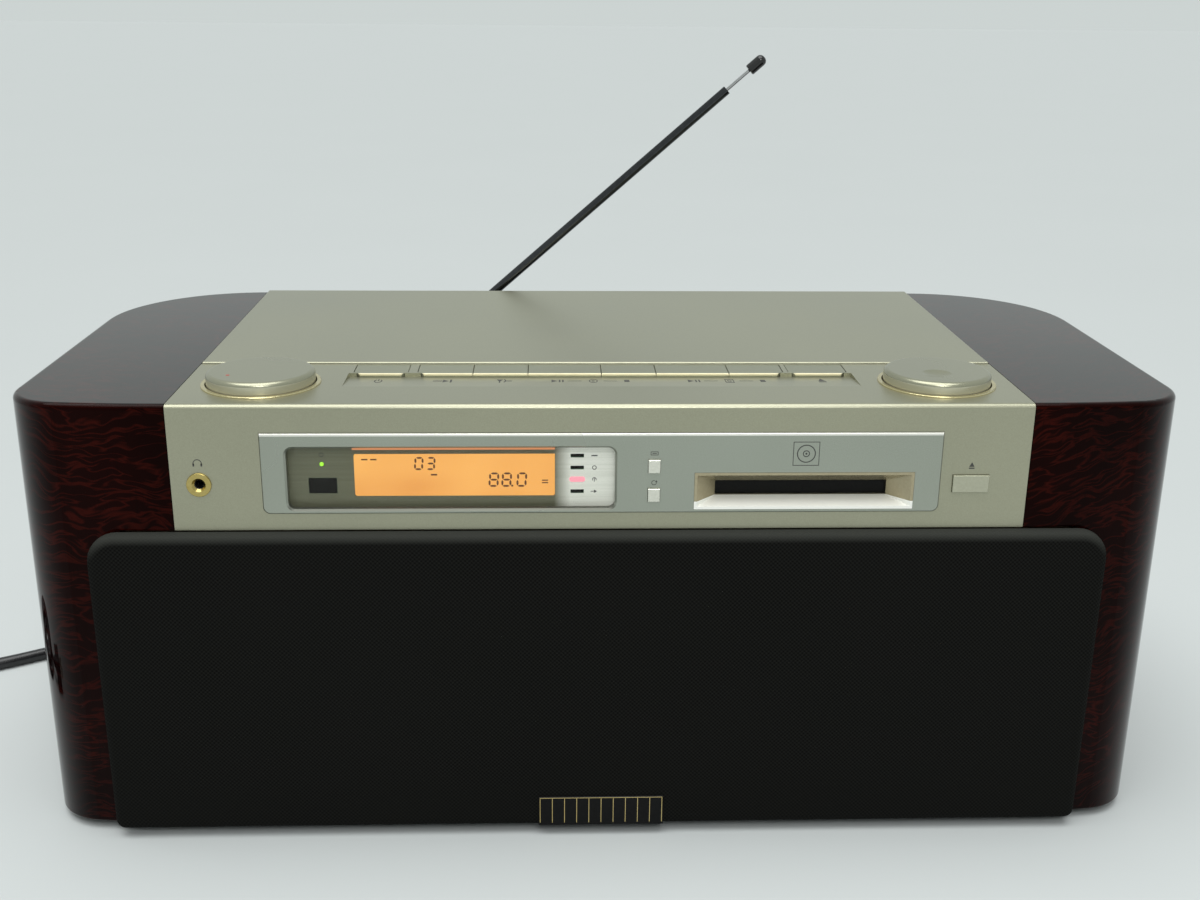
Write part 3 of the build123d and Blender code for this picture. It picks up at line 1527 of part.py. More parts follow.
# In the plug's own frame the cord comes in along X
def mains_plug():
    body_start = plug_neck_length
    body_end = body_start + plug_length
    neck = Pos(plug_neck_length / 2, 0, 0) * Rot(0, 90, 0) * Cone(
        plug_neck_radius, plug_neck_radius + plug_neck_flare, plug_neck_length)
    floor_level = -coil_pitch - coil_level()
    body = block(body_start, body_end, -plug_width / 2, plug_width / 2, floor_level,
                 floor_level + plug_height)
    body = fillet(body.edges().filter_by(Axis.X), plug_round)
    middle = floor_level + plug_height / 2
    plug = neck + body
    for side in (-1, 1):
        y = side * blade_spacing / 2
        plug += block(body_end - 1, body_end + blade_length, y - blade_wall / 2, y + blade_wall / 2,
                      middle - blade_height / 2, middle + blade_height / 2)
    way = tail_way()
    tail = tail_arc()[2]
    spin = 180 if way < 0 else 0
    return coil_place() * Pos(tail.X + way * 2 * cord_radius, tail.Y, tail.Z) * Rot(0, 0, spin) * plug


pieces = {
    "right_cheek": right_cheek(),
    "left_cheek": mirror(right_cheek(), about=Plane.YZ),
    "front_panel": front_panel(),
    "cd_lid": cd_lid(),
    "lid_liner": lid_liner(),
    "lid_drive_gear": lid_drive_gear(),
    "lid_motor": lid_motor(),
    "back_panel": back_panel(),
    "cover_screws": cover_screws(),
    "base_chassis": base_chassis(),
    "feet": feet(),
    "grille_frame": grille_frame(),
    "grille_cloth": grille_cloth(),
    "badge_plate": badge_plate(),
    "baffle_board": baffle_board(),
    "fascia_plate": fascia_plate(),
    "display_window": display_window(),
    "display_panel": display_panel(),
    "lcd_module": lcd_module(),
    "front_boards": front_boards(),
    "display_button": fascia_button(display_lift),
    "play_mode_button": fascia_button(play_mode_lift),
    "eject_button": eject_button(),
    "phones_jack": phones_jack(),
    "md_bezel": md_bezel(),
    "md_door": md_door(),
    "md_deck": md_deck(),
    "md_turntable": md_turntable(),
    "knob_rings": knob_rings(),
    "volume_knob": knob(-1),
    "tuning_knob": tuning_knob(),
    "control_board": control_board(),
    "cd_well": cd_well(),
    "cd_turntable": cd_turntable(),
    "cd_mechanism": cd_mechanism(),
    "cd_pickup": cd_pickup(),
    "speaker_frames": speaker_frames(),
    "left_cone": speaker_cone(-1),
    "right_cone": speaker_cone(1),
    "main_board": main_board(),
    "power_transformer": power_transformer(),
    "line_in_jacks": line_in_jacks(),
    "antenna_base": antenna_base(),
    "antenna_knuckle": antenna_knuckle(),
    "antenna_outer_tube": antenna_outer_tube(),
    "antenna_middle_tube": antenna_middle_tube(),
    "antenna_tip": antenna_tip(),
    "strain_relief": strain_relief(),
    "mains_cord": mains_cord(),
    "cord_coil": cord_coil(),
    "cord_tie": cord_tie(),
    "mains_plug": mains_plug(),
}
for name, left, width, left_cut, right_cut in keys():
    pieces[name] = key(left, width, left_cut, right_cut)

# The foremost point is the badge plate's face and the rearmost is the antenna's cap
middle_y = (grille_front - badge_wall + antenna_y + cap_radius) / 2
print("origin lies at y", round(middle_y, 3))
for name, piece in pieces.items():
    export_step(Pos(0, -middle_y, 0) * piece, f"parts/{name}.step")
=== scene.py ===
import math

import bmesh
import bpy
from mathutils import Matrix, Vector


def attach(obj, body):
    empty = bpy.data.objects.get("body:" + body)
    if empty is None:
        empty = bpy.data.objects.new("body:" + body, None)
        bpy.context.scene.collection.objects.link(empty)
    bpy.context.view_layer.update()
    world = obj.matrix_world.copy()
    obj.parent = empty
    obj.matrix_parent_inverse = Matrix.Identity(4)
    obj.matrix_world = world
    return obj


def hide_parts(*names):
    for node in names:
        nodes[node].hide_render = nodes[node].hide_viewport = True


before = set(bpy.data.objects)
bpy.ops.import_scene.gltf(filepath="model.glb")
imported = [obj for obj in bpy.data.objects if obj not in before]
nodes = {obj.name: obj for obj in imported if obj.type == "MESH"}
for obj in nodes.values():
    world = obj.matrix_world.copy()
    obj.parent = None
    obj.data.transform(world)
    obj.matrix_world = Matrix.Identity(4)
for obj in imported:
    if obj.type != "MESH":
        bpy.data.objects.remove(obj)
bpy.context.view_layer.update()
scene = bpy.context.scene
scene.view_settings.view_transform = "Standard"
frontFace = -0.117825   # y of the metal front face
print("frame loaded:", len(nodes), "nodes")


# Millimetres from the middle, the metal front face and the table, to metres in the frame
def at(x, y, z):
    return Vector((x / 1000, frontFace + y / 1000, z / 1000))


# Camera, in millimetres and radians
shot = {"place": (-22.75639, -551.04986, 364.40934), "yaw": 0.03806670, "pitch": 0.31963392,
        "roll": 0.00973482, "lens": 41.68043, "sensor": 36}


def makeCamera():
    ahead = Vector((math.sin(shot["yaw"]) * math.cos(shot["pitch"]),
                    math.cos(shot["yaw"]) * math.cos(shot["pitch"]), -math.sin(shot["pitch"])))
    level = Vector((math.cos(shot["yaw"]), -math.sin(shot["yaw"]), 0))
    above = level.cross(ahead)
    right = level * math.cos(shot["roll"]) + above * math.sin(shot["roll"])
    up = above * math.cos(shot["roll"]) - level * math.sin(shot["roll"])
    bpy.ops.object.camera_add(location=at(*shot["place"]))
    cam = bpy.context.object
    cam.name = "photoCamera"
    cam.rotation_euler = Matrix((right, up, -ahead)).transposed().to_euler()
    cam.data.lens = shot["lens"]
    cam.data.sensor_width = shot["sensor"]
    cam.data.clip_start = 0.02
    cam.data.clip_end = 40
    scene.camera = cam


makeCamera()


# Node groups shared by the finishes
def newGroup(name, inputs, outputs):
    group = bpy.data.node_groups.new(name, "ShaderNodeTree")
    for label, value in inputs:
        socket = group.interface.new_socket(name=label, in_out="INPUT", socket_type="NodeSocketFloat")
        socket.default_value = value
    for label in outputs:
        group.interface.new_socket(name=label, in_out="OUTPUT", socket_type="NodeSocketFloat")
    return group, group.nodes.new("NodeGroupInput"), group.nodes.new("NodeGroupOutput")


# Sets a socket to a number or a colour, or links it to another socket
def give(tree, socket, value):
    if isinstance(value, (int, float)):
        socket.default_value = value
    elif isinstance(value, tuple):
        socket.default_value = (*value, 1)
    else:
        tree.links.new(value, socket)


def calc(tree, operation, first, second=None, third=None, clamp=False):
    node = tree.nodes.new("ShaderNodeMath")
    node.operation = operation
    node.use_clamp = clamp
    for socket, value in zip(node.inputs, (first, second, third)):
        if value is not None:
            give(tree, socket, value)
    return node.outputs[0]


def objectPlace(tree):
    return tree.nodes.new("ShaderNodeTexCoord").outputs["Object"]


# The x, y and z of a vector as sockets named X, Y and Z
def partsOf(tree, vector):
    split = tree.nodes.new("ShaderNodeSeparateXYZ")
    tree.links.new(vector, split.inputs[0])
    return split.outputs


def placeParts(tree):
    return partsOf(tree, objectPlace(tree))


def normalParts(tree):
    return partsOf(tree, tree.nodes.new("ShaderNodeNewGeometry").outputs["Normal"])


def scaled(tree, vector, sizes):
    node = tree.nodes.new("ShaderNodeMapping")
    node.inputs["Scale"].default_value = sizes
    tree.links.new(vector, node.inputs["Vector"])
    return node.outputs[0]


def noise(tree, vector, scale=1.0, detail=2.0, rough=0.5, distortion=0.0):
    node = tree.nodes.new("ShaderNodeTexNoise")
    node.inputs["Detail"].default_value = detail
    node.inputs["Roughness"].default_value = rough
    node.inputs["Distortion"].default_value = distortion
    give(tree, node.inputs["Scale"], scale)
    tree.links.new(vector, node.inputs["Vector"])
    return node.outputs[0]


def between(tree, value, low, high, toLow=0.0, toHigh=1.0):
    node = tree.nodes.new("ShaderNodeMapRange")
    node.inputs["From Min"].default_value = low
    node.inputs["From Max"].default_value = high
    node.inputs["To Min"].default_value = toLow
    node.inputs["To Max"].default_value = toHigh
    tree.links.new(value, node.inputs["Value"])
    return node.outputs[0]


# A vector that counts across and along the grain in its x and z
def stretched(tree, across, along, counts):
    node = tree.nodes.new("ShaderNodeCombineXYZ")
    tree.links.new(calc(tree, "MULTIPLY", across, counts[0]), node.inputs["X"])
    tree.links.new(calc(tree, "MULTIPLY", along, counts[1]), node.inputs["Z"])
    return node.outputs[0]


dustColour = (0.5, 0.49, 0.46)
black = (0.0, 0.0, 0.0)
# the middle of a noise's range, broad and narrow
broad, narrow = (0.3, 0.7), (0.35, 0.65)


# Fine paint grain, broad clouding and dust that settles on faces that look up
def makeGrainGroup():
    group, inside, out = newGroup("finishGrain", [("Grain", 900.0), ("Cloud", 9.0), ("Dust", 60.0)],
                                  ["Grain", "Cloud", "Dust"])
    place = objectPlace(group)
    group.links.new(noise(group, place, inside.outputs["Grain"]), out.inputs["Grain"])
    clouds = noise(group, place, inside.outputs["Cloud"], detail=3.0, rough=0.6)
    group.links.new(clouds, out.inputs["Cloud"])
    up = between(group, normalParts(group)["Z"], 0.5, 0.98)
    specks = noise(group, place, inside.outputs["Dust"], detail=8.0, rough=0.75)
    dust = calc(group, "MULTIPLY", up, between(group, specks, 0.56, 0.8))
    group.links.new(dust, out.inputs["Dust"])
    return group


# Streaks of brushed metal along x
def makeBrushGroup():
    group, inside, out = newGroup("brushedStreaks", [("Fineness", 1.0)], ["Streak"])
    place = scaled(group, objectPlace(group), (14, 1800, 1800))
    streak = noise(group, place, inside.outputs["Fineness"], detail=3.0, rough=0.7)
    group.links.new(between(group, streak, *broad), out.inputs["Streak"])
    return group


# Grille cloth: threads whose crossings stand in rows at 45 degrees, seen from the front
def makeWeaveGroup():
    group, inside, out = newGroup("clothWeave", [("Threads", 3400.0)], ["Thread"])
    place = placeParts(group)
    threads = inside.outputs["Threads"]
    upward = calc(group, "ADD", place["Z"], place["Y"])
    waves = [calc(group, "SINE", calc(group, "MULTIPLY", way, threads)) for way in (place["X"], upward)]
    crossed = calc(group, "MULTIPLY", *waves)
    group.links.new(between(group, crossed, -1, 1), out.inputs["Thread"])
    return group


# The veneer's figure: how often the flames and pores come across and along the grain, how far the flames
# wander, how they lean from the left cheek to the right, and how wide they are
figure = {"flames": (46.0, 210.0), "pores": (1500.0, 60.0), "wander": 0.03, "cheeks": (-0.15, 0.15),
          "lean": (0.12, -0.32), "width": 0.050}


# Figured veneer: thin wavy flames across the grain, which runs up the front and sides and back over the
# top, slow clouds, and dark pores along the grain
def makeVeneerGroup():
    group, inside, out = newGroup("veneerFigure", [("Flame", 1.0), ("Pores", 1.0)],
                                  ["Flame", "Cloud", "Pores"])
    place = objectPlace(group)
    parts = partsOf(group, place)
    up = between(group, calc(group, "ABSOLUTE", normalParts(group)["Z"]), 0.4, 0.9)
    upright = calc(group, "SUBTRACT", 1.0, up)
    along = calc(group, "MULTIPLY", parts["Z"], upright)
    along = calc(group, "MULTIPLY_ADD", parts["Y"], up, along)
    side = calc(group, "MULTIPLY_ADD", parts["Y"], upright, parts["X"])
    wander = noise(group, scaled(group, place, (30, 30, 20)), rough=0.6)
    slant = between(group, parts["X"], *figure["cheeks"], *figure["lean"])
    level = calc(group, "MULTIPLY_ADD", side, slant, along)
    level = calc(group, "MULTIPLY_ADD", wander, figure["wander"], level)
    flames = stretched(group, side, level, figure["flames"])
    curls = noise(group, flames, inside.outputs["Flame"], rough=0.6, distortion=0.4)
    ridge = calc(group, "ABSOLUTE", calc(group, "SUBTRACT", curls, 0.5))
    group.links.new(between(group, ridge, figure["width"], 0.0), out.inputs["Flame"])
    clouds = noise(group, scaled(group, place, (20, 20, 14)), detail=3.0)
    group.links.new(clouds, out.inputs["Cloud"])
    pores = noise(group, stretched(group, side, along, figure["pores"]), inside.outputs["Pores"])
    group.links.new(between(group, pores, 0.6, 0.72), out.inputs["Pores"])
    return group


# 1 on the far side of a plane and 0 before it, for a node that has more than one finish
def makeSideGroup():
    group, inside, out = newGroup("beyondPlane", [("X", 0.0), ("Y", 1.0), ("Z", 0.0), ("Level", 0.0)],
                                  ["Beyond"])
    place = placeParts(group)
    total = calc(group, "MULTIPLY", place["X"], inside.outputs["X"])
    for side in "YZ":
        total = calc(group, "MULTIPLY_ADD", place[side], inside.outputs[side], total)
    group.links.new(calc(group, "GREATER_THAN", total, inside.outputs["Level"]), out.inputs["Beyond"])
    return group


groups = {"grain": makeGrainGroup(), "brush": makeBrushGroup(), "weave": makeWeaveGroup(),
          "veneer": makeVeneerGroup(), "side": makeSideGroup()}


def placeGroup(tree, which, **values):
    node = tree.nodes.new("ShaderNodeGroup")
    node.node_tree = groups[which]
    for label, value in values.items():
        node.inputs[label].default_value = value
    return node


def mixColours(tree, amount, first, second):
    node = tree.nodes.new("ShaderNodeMix")
    node.data_type = "RGBA"
    give(tree, node.inputs["Factor"], amount)
    for socket in node.inputs:
        if socket.type == "RGBA":
            give(tree, socket, {"A": first, "B": second}[socket.name])
    return [socket for socket in node.outputs if socket.type == "RGBA"][0]


def newMaterial(name, **fixed):
    material = bpy.data.materials.new(name)
    material.use_nodes = True
    tree = material.node_tree
    shader = tree.nodes["Principled BSDF"]
    for label, value in fixed.items():
        shader.inputs[label.replace("_", " ")].default_value = value
    return material, tree, shader


def feed(tree, shader, label, value):
    tree.links.new(value, shader.inputs[label])


def bumped(tree, shader, height, distance, strength=0.3):
    bump = tree.nodes.new("ShaderNodeBump")
    bump.inputs["Distance"].default_value = distance
    bump.inputs["Strength"].default_value = strength
    tree.links.new(height, bump.inputs["Height"])
    feed(tree, shader, "Normal", bump.outputs[0])


# Grain and clouding in one value, which picks between the two shades of a finish
def shadeOf(tree, grainNode):
    clouds = calc(tree, "MULTIPLY", grainNode.outputs["Cloud"], 0.55)
    return calc(tree, "MULTIPLY_ADD", grainNode.outputs["Grain"], 0.45, clouds)


# A plain painted, plated or moulded finish: two close shades, a range of roughness, fine grain and dust.
# A material with a second finish or a painted highlight has it beyond a plane
def surface(name, dark, light, rough, metallic=0.0, grain=900.0, cloud=9.0, bump=0.02, dust=0.1,
            **fixed):
    material, tree, shader = newMaterial(name, **fixed)
    shader.inputs["Metallic"].default_value = metallic
    grainNode = placeGroup(tree, "grain", Grain=grain, Cloud=cloud)
    mixed = shadeOf(tree, grainNode)
    colour = mixColours(tree, between(tree, mixed, *narrow), dark, light)
    roughness = between(tree, grainNode.outputs["Cloud"], *broad, *rough)
    if name in secondFinishesAndHighlights:
        plane, farDark, farLight, farMetallic = secondFinishesAndHighlights[name]
        far = placeGroup(tree, "side", **plane).outputs[0]
        colour = mixColours(tree, far, colour, mixColours(tree, mixed, farDark, farLight))
        feed(tree, shader, "Metallic", between(tree, far, 0, 1, metallic, farMetallic))
    dusty = calc(tree, "MULTIPLY", grainNode.outputs["Dust"], dust)
    feed(tree, shader, "Base Color", mixColours(tree, dusty, colour, dustColour))
    feed(tree, shader, "Roughness", calc(tree, "MULTIPLY_ADD", dusty, 0.5, roughness, clamp=True))
    bumped(tree, shader, grainNode.outputs["Grain"], bump / 1000)
    return material


# Where a node changes from one finish to another, or where painted light or shade begins: places in the
# frame, in metres, and directions
antennaLean = math.radians(41.1)
borders = {"windowTop": 0.1820, "displaySides": (-0.105, -0.0206), "cardSilver": (-0.021, -0.014),
           "fasciaCrest": 0.1883, "fasciaUnder": 0.170, "knobSkirt": 0.2058, "slotLip": 0.1590,
           "boardTop": 0.0168, "socketFace": frontFace + 0.0002, "jackBody": frontFace + 0.2256,
           "coneBack": frontFace + 0.038, "coilFace": frontFace + 0.1671, "plugFace": 0.0874,
           "plugWay": (0.10452846, -0.9945219), "keyEdge": (-0.0688, 0.2008), "diagonal": 0.7071,
           "antennaPivot": (-0.09, 0.168), "rodLength": 0.2355}


# The plane past which a second finish begins: a direction, and how far along it the plane lies, its level
def beyond(level, x=0.0, y=0.0, z=0.0):
    return {"X": x, "Y": y, "Z": z, "Level": level}


# Past the antenna's rod, where its black cap begins
def beyondRod():
    pivotX, pivotZ = borders["antennaPivot"]
    leanX, leanZ = math.cos(antennaLean), math.sin(antennaLean)
    return beyond(pivotX * leanX + pivotZ * leanZ + borders["rodLength"], x=leanX, z=leanZ)


# Past the bevel at 45 degrees along the keys' front edge
def beyondKeyEdge():
    edgeY, edgeZ = borders["keyEdge"]
    diagonal = borders["diagonal"]
    return beyond(diagonal * (edgeZ - edgeY), y=-diagonal, z=diagonal)


# The second finish of a material that has two, or its painted highlight: where it begins, its two shades
# and its metallic value
secondFinishesAndHighlights = {
    # the knobs' sides: a lighter, less metallic copy of the champagne, a painted highlight
    "champagneKnob": (beyond(-borders["knobSkirt"], z=-1.0),
                      (0.50, 0.485, 0.365), (0.58, 0.56, 0.43), 0.6),
    # the slot's lip: near white and hardly metallic, a painted highlight
    "slotBezel": (beyond(-borders["slotLip"], z=-1.0), (0.93, 0.93, 0.86), (0.99, 0.99, 0.93), 0.05),
    "antennaRod": (beyondRod(), (0.008, 0.008, 0.008), (0.014, 0.014, 0.014), 0.0),
    "plugVinyl": (beyond(borders["plugFace"], *borders["plugWay"]),
                  (0.5, 0.48, 0.42), (0.62, 0.6, 0.54), 1.0),
    "phonesSocket": (beyond(borders["socketFace"], y=1.0),
                     (0.012, 0.012, 0.012), (0.02, 0.02, 0.02), 0.0),
    "lineJacks": (beyond(borders["jackBody"], y=1.0), (0.6, 0.45, 0.2), (0.74, 0.6, 0.3), 1.0),
    "mainBoardParts": (beyond(borders["boardTop"], z=1.0),
                       (0.05, 0.05, 0.055), (0.10, 0.10, 0.11), 0.8),
    "speakerSteel": (beyond(borders["coneBack"], y=1.0), (0.10, 0.10, 0.10), (0.16, 0.16, 0.16), 0.4),
    "transformerCore": (beyond(borders["coilFace"], y=1.0),
                        (0.45, 0.25, 0.06), (0.55, 0.32, 0.09), 0.1),
    # the keys' front edge: a painted highlight in pale gold
    "keyChampagne": (beyondKeyEdge(), (0.86, 0.78, 0.50), (0.95, 0.87, 0.60), 0.25),
}


def makeVeneer():
    material, tree, shader = newMaterial("lacqueredVeneer", IOR=1.5,
                                         Specular_Tint=(0.07, 0.045, 0.04, 1))
    wood = placeGroup(tree, "veneer")
    cloud = wood.outputs["Cloud"]
    ground = mixColours(tree, between(tree, cloud, *narrow), (0.0028, 0.00035, 0.00035),
                        (0.0070, 0.0006, 0.0005))
    strength = between(tree, cloud, 0.3, 0.6, 0.35, 1.0)
    flame = calc(tree, "MULTIPLY", wood.outputs["Flame"], strength)
    flamed = mixColours(tree, flame, ground, (0.030, 0.0030, 0.0017))
    pores = calc(tree, "MULTIPLY", wood.outputs["Pores"], 0.5)
    feed(tree, shader, "Base Color", mixColours(tree, pores, flamed, (0.002, 0.0005, 0.0005)))
    feed(tree, shader, "Roughness", between(tree, cloud, *broad, 0.03, 0.06))
    bumped(tree, shader, wood.outputs["Pores"], 0.000004, 0.1)
    return material


def makeGrilleWeave():
    material, tree, shader = newMaterial("grilleWeave", Specular_IOR_Level=0.06)
    weave = placeGroup(tree, "weave")
    grainNode = placeGroup(tree, "grain", Grain=2200.0, Cloud=14.0)
    ground = mixColours(tree, between(tree, grainNode.outputs["Cloud"], *broad),
                        (0.0022, 0.0022, 0.0020), (0.0032, 0.0032, 0.0029))
    threads = mixColours(tree, weave.outputs["Thread"], ground, (0.0105, 0.0107, 0.0094))
    # painted highlight: the rolled edge that faces up is a little lighter
    facesUp = between(tree, normalParts(tree)["Z"], 0.1, 0.8)
    threads = mixColours(tree, facesUp, threads, (0.040, 0.042, 0.037))
    flecks = calc(tree, "MULTIPLY", between(tree, grainNode.outputs["Grain"], 0.66, 0.8), 0.2)
    feed(tree, shader, "Base Color", mixColours(tree, flecks, threads, (0.03, 0.03, 0.028)))
    feed(tree, shader, "Roughness", between(tree, weave.outputs["Thread"], 0, 1, 0.95, 0.8))
    bumped(tree, shader, weave.outputs["Thread"], 0.0002, 0.5)
    return material


# The clear cover shows what lies behind it and reflects more at a low angle; along its top edge it
# carries a painted amber reflection
def makeClearCover():
    material, tree, shader = newMaterial("clearCover", Specular_IOR_Level=0.35, Emission_Strength=1.0)
    grainNode = placeGroup(tree, "grain", Grain=300.0, Cloud=20.0)
    cloud = grainNode.outputs["Cloud"]
    tint = mixColours(tree, cloud, (0.10, 0.10, 0.08), (0.14, 0.14, 0.115))
    feed(tree, shader, "Base Color", tint)
    feed(tree, shader, "Roughness", between(tree, cloud, *broad, 0.03, 0.07))
    edge = tree.nodes.new("ShaderNodeLayerWeight")
    edge.inputs["Blend"].default_value = 0.25
    clear = between(tree, edge.outputs["Facing"], 0.0, 0.9, 0.03, 0.45)
    # painted reflection: the top edge right above the display glows amber, as if it caught the display's
    # light
    place = placeParts(tree)
    left, right = borders["displaySides"]
    glow = calc(tree, "GREATER_THAN", place["Z"], borders["windowTop"])
    glow = calc(tree, "MULTIPLY", glow, calc(tree, "GREATER_THAN", place["X"], left))
    glow = calc(tree, "MULTIPLY", glow, calc(tree, "LESS_THAN", place["X"], right))
    feed(tree, shader, "Emission Color", mixColours(tree, glow, black, (0.62, 0.20, 0.055)))
    feed(tree, shader, "Alpha", calc(tree, "MAXIMUM", clear, calc(tree, "MULTIPLY", glow, 0.85)))
    return material


# Amber backlight, a little uneven
def makeAmber():
    material, tree, shader = newMaterial("amberBacklight", Roughness=0.35, Emission_Strength=1.08)
    cloud = noise(tree, scaled(tree, objectPlace(tree), (22, 22, 40)), detail=1.0)
    shade = between(tree, cloud, *broad)
    glow = mixColours(tree, shade, (0.80, 0.34, 0.070), (0.97, 0.50, 0.120))
    feed(tree, shader, "Emission Color", glow)
    ground = mixColours(tree, shade, (0.05, 0.025, 0.010), (0.06, 0.03, 0.012))
    feed(tree, shader, "Base Color", ground)
    return material


# Card behind the window: dull grey on the left and brushed silver round the source lamps, with a painted
# glow on the silver
def makeWindowCard():
    material, tree, shader = newMaterial("windowCard", Metallic=0.1, Emission_Strength=1.0)
    streak = placeGroup(tree, "brush", Fineness=0.6).outputs[0]
    bright = between(tree, placeParts(tree)["X"], *borders["cardSilver"])
    dull = mixColours(tree, streak, (0.16, 0.165, 0.10), (0.20, 0.205, 0.13))
    silver = mixColours(tree, streak, (0.80, 0.82, 0.72), (0.97, 0.98, 0.90))
    feed(tree, shader, "Base Color", mixColours(tree, bright, dull, silver))
    # painted light: a faint glow on the silver side
    lit = mixColours(tree, streak, (0.100, 0.104, 0.088), (0.150, 0.155, 0.135))
    feed(tree, shader, "Emission Color", mixColours(tree, bright, black, lit))
    feed(tree, shader, "Roughness", between(tree, streak, 0, 1, 0.35, 0.5))
    bumped(tree, shader, streak, 0.00002, 0.25)
    return material


# Silver fascia: a painted highlight on the bevel along the top edge, and painted shade on the ledge that
# faces up under the window, which is also rougher
def makeFascia():
    material, tree, shader = newMaterial("silverFascia")
    grainNode = placeGroup(tree, "grain", Grain=2200.0, Cloud=7.0)
    shade = between(tree, shadeOf(tree, grainNode), *narrow)
    face = mixColours(tree, shade, (0.305, 0.326, 0.275), (0.375, 0.400, 0.340))
    height = placeParts(tree)["Z"]
    # painted highlight: above this level the top edge takes a pale, less metallic colour
    crestHighlight = calc(tree, "GREATER_THAN", height, borders["fasciaCrest"])
    # painted shade: the ledge that faces up under the window is darker, and rougher
    facesUp = between(tree, normalParts(tree)["Z"], 0.2, 0.5)
    under = calc(tree, "MULTIPLY", calc(tree, "LESS_THAN", height, borders["fasciaUnder"]), facesUp)
    face = mixColours(tree, under, face, (0.150, 0.155, 0.130))
    highlightColour = mixColours(tree, shade, (0.74, 0.74, 0.67), (0.84, 0.84, 0.77))
    face = mixColours(tree, crestHighlight, face, highlightColour)
    feed(tree, shader, "Base Color", face)
    feed(tree, shader, "Metallic", between(tree, crestHighlight, 0, 1, 0.75, 0.35))
    rough = between(tree, grainNode.outputs["Cloud"], *broad, 0.26, 0.33)
    feed(tree, shader, "Roughness", calc(tree, "MULTIPLY_ADD", under, 0.2, rough))
    bumped(tree, shader, grainNode.outputs["Grain"], 0.00001)
    return material


def makeLight(name, colour, glow, strength):
    material, tree, shader = newMaterial(name, Roughness=0.25, Emission_Strength=strength)
    cloud = noise(tree, objectPlace(tree), 700.0, detail=1.0)
    brighter, darker = tuple(min(1, c * 1.1) for c in glow), tuple(c * 0.8 for c in colour)
    light = mixColours(tree, between(tree, cloud, 0.2, 0.8), glow, brighter)
    feed(tree, shader, "Emission Color", light)
    feed(tree, shader, "Base Color", mixColours(tree, cloud, colour, darker))
    return material


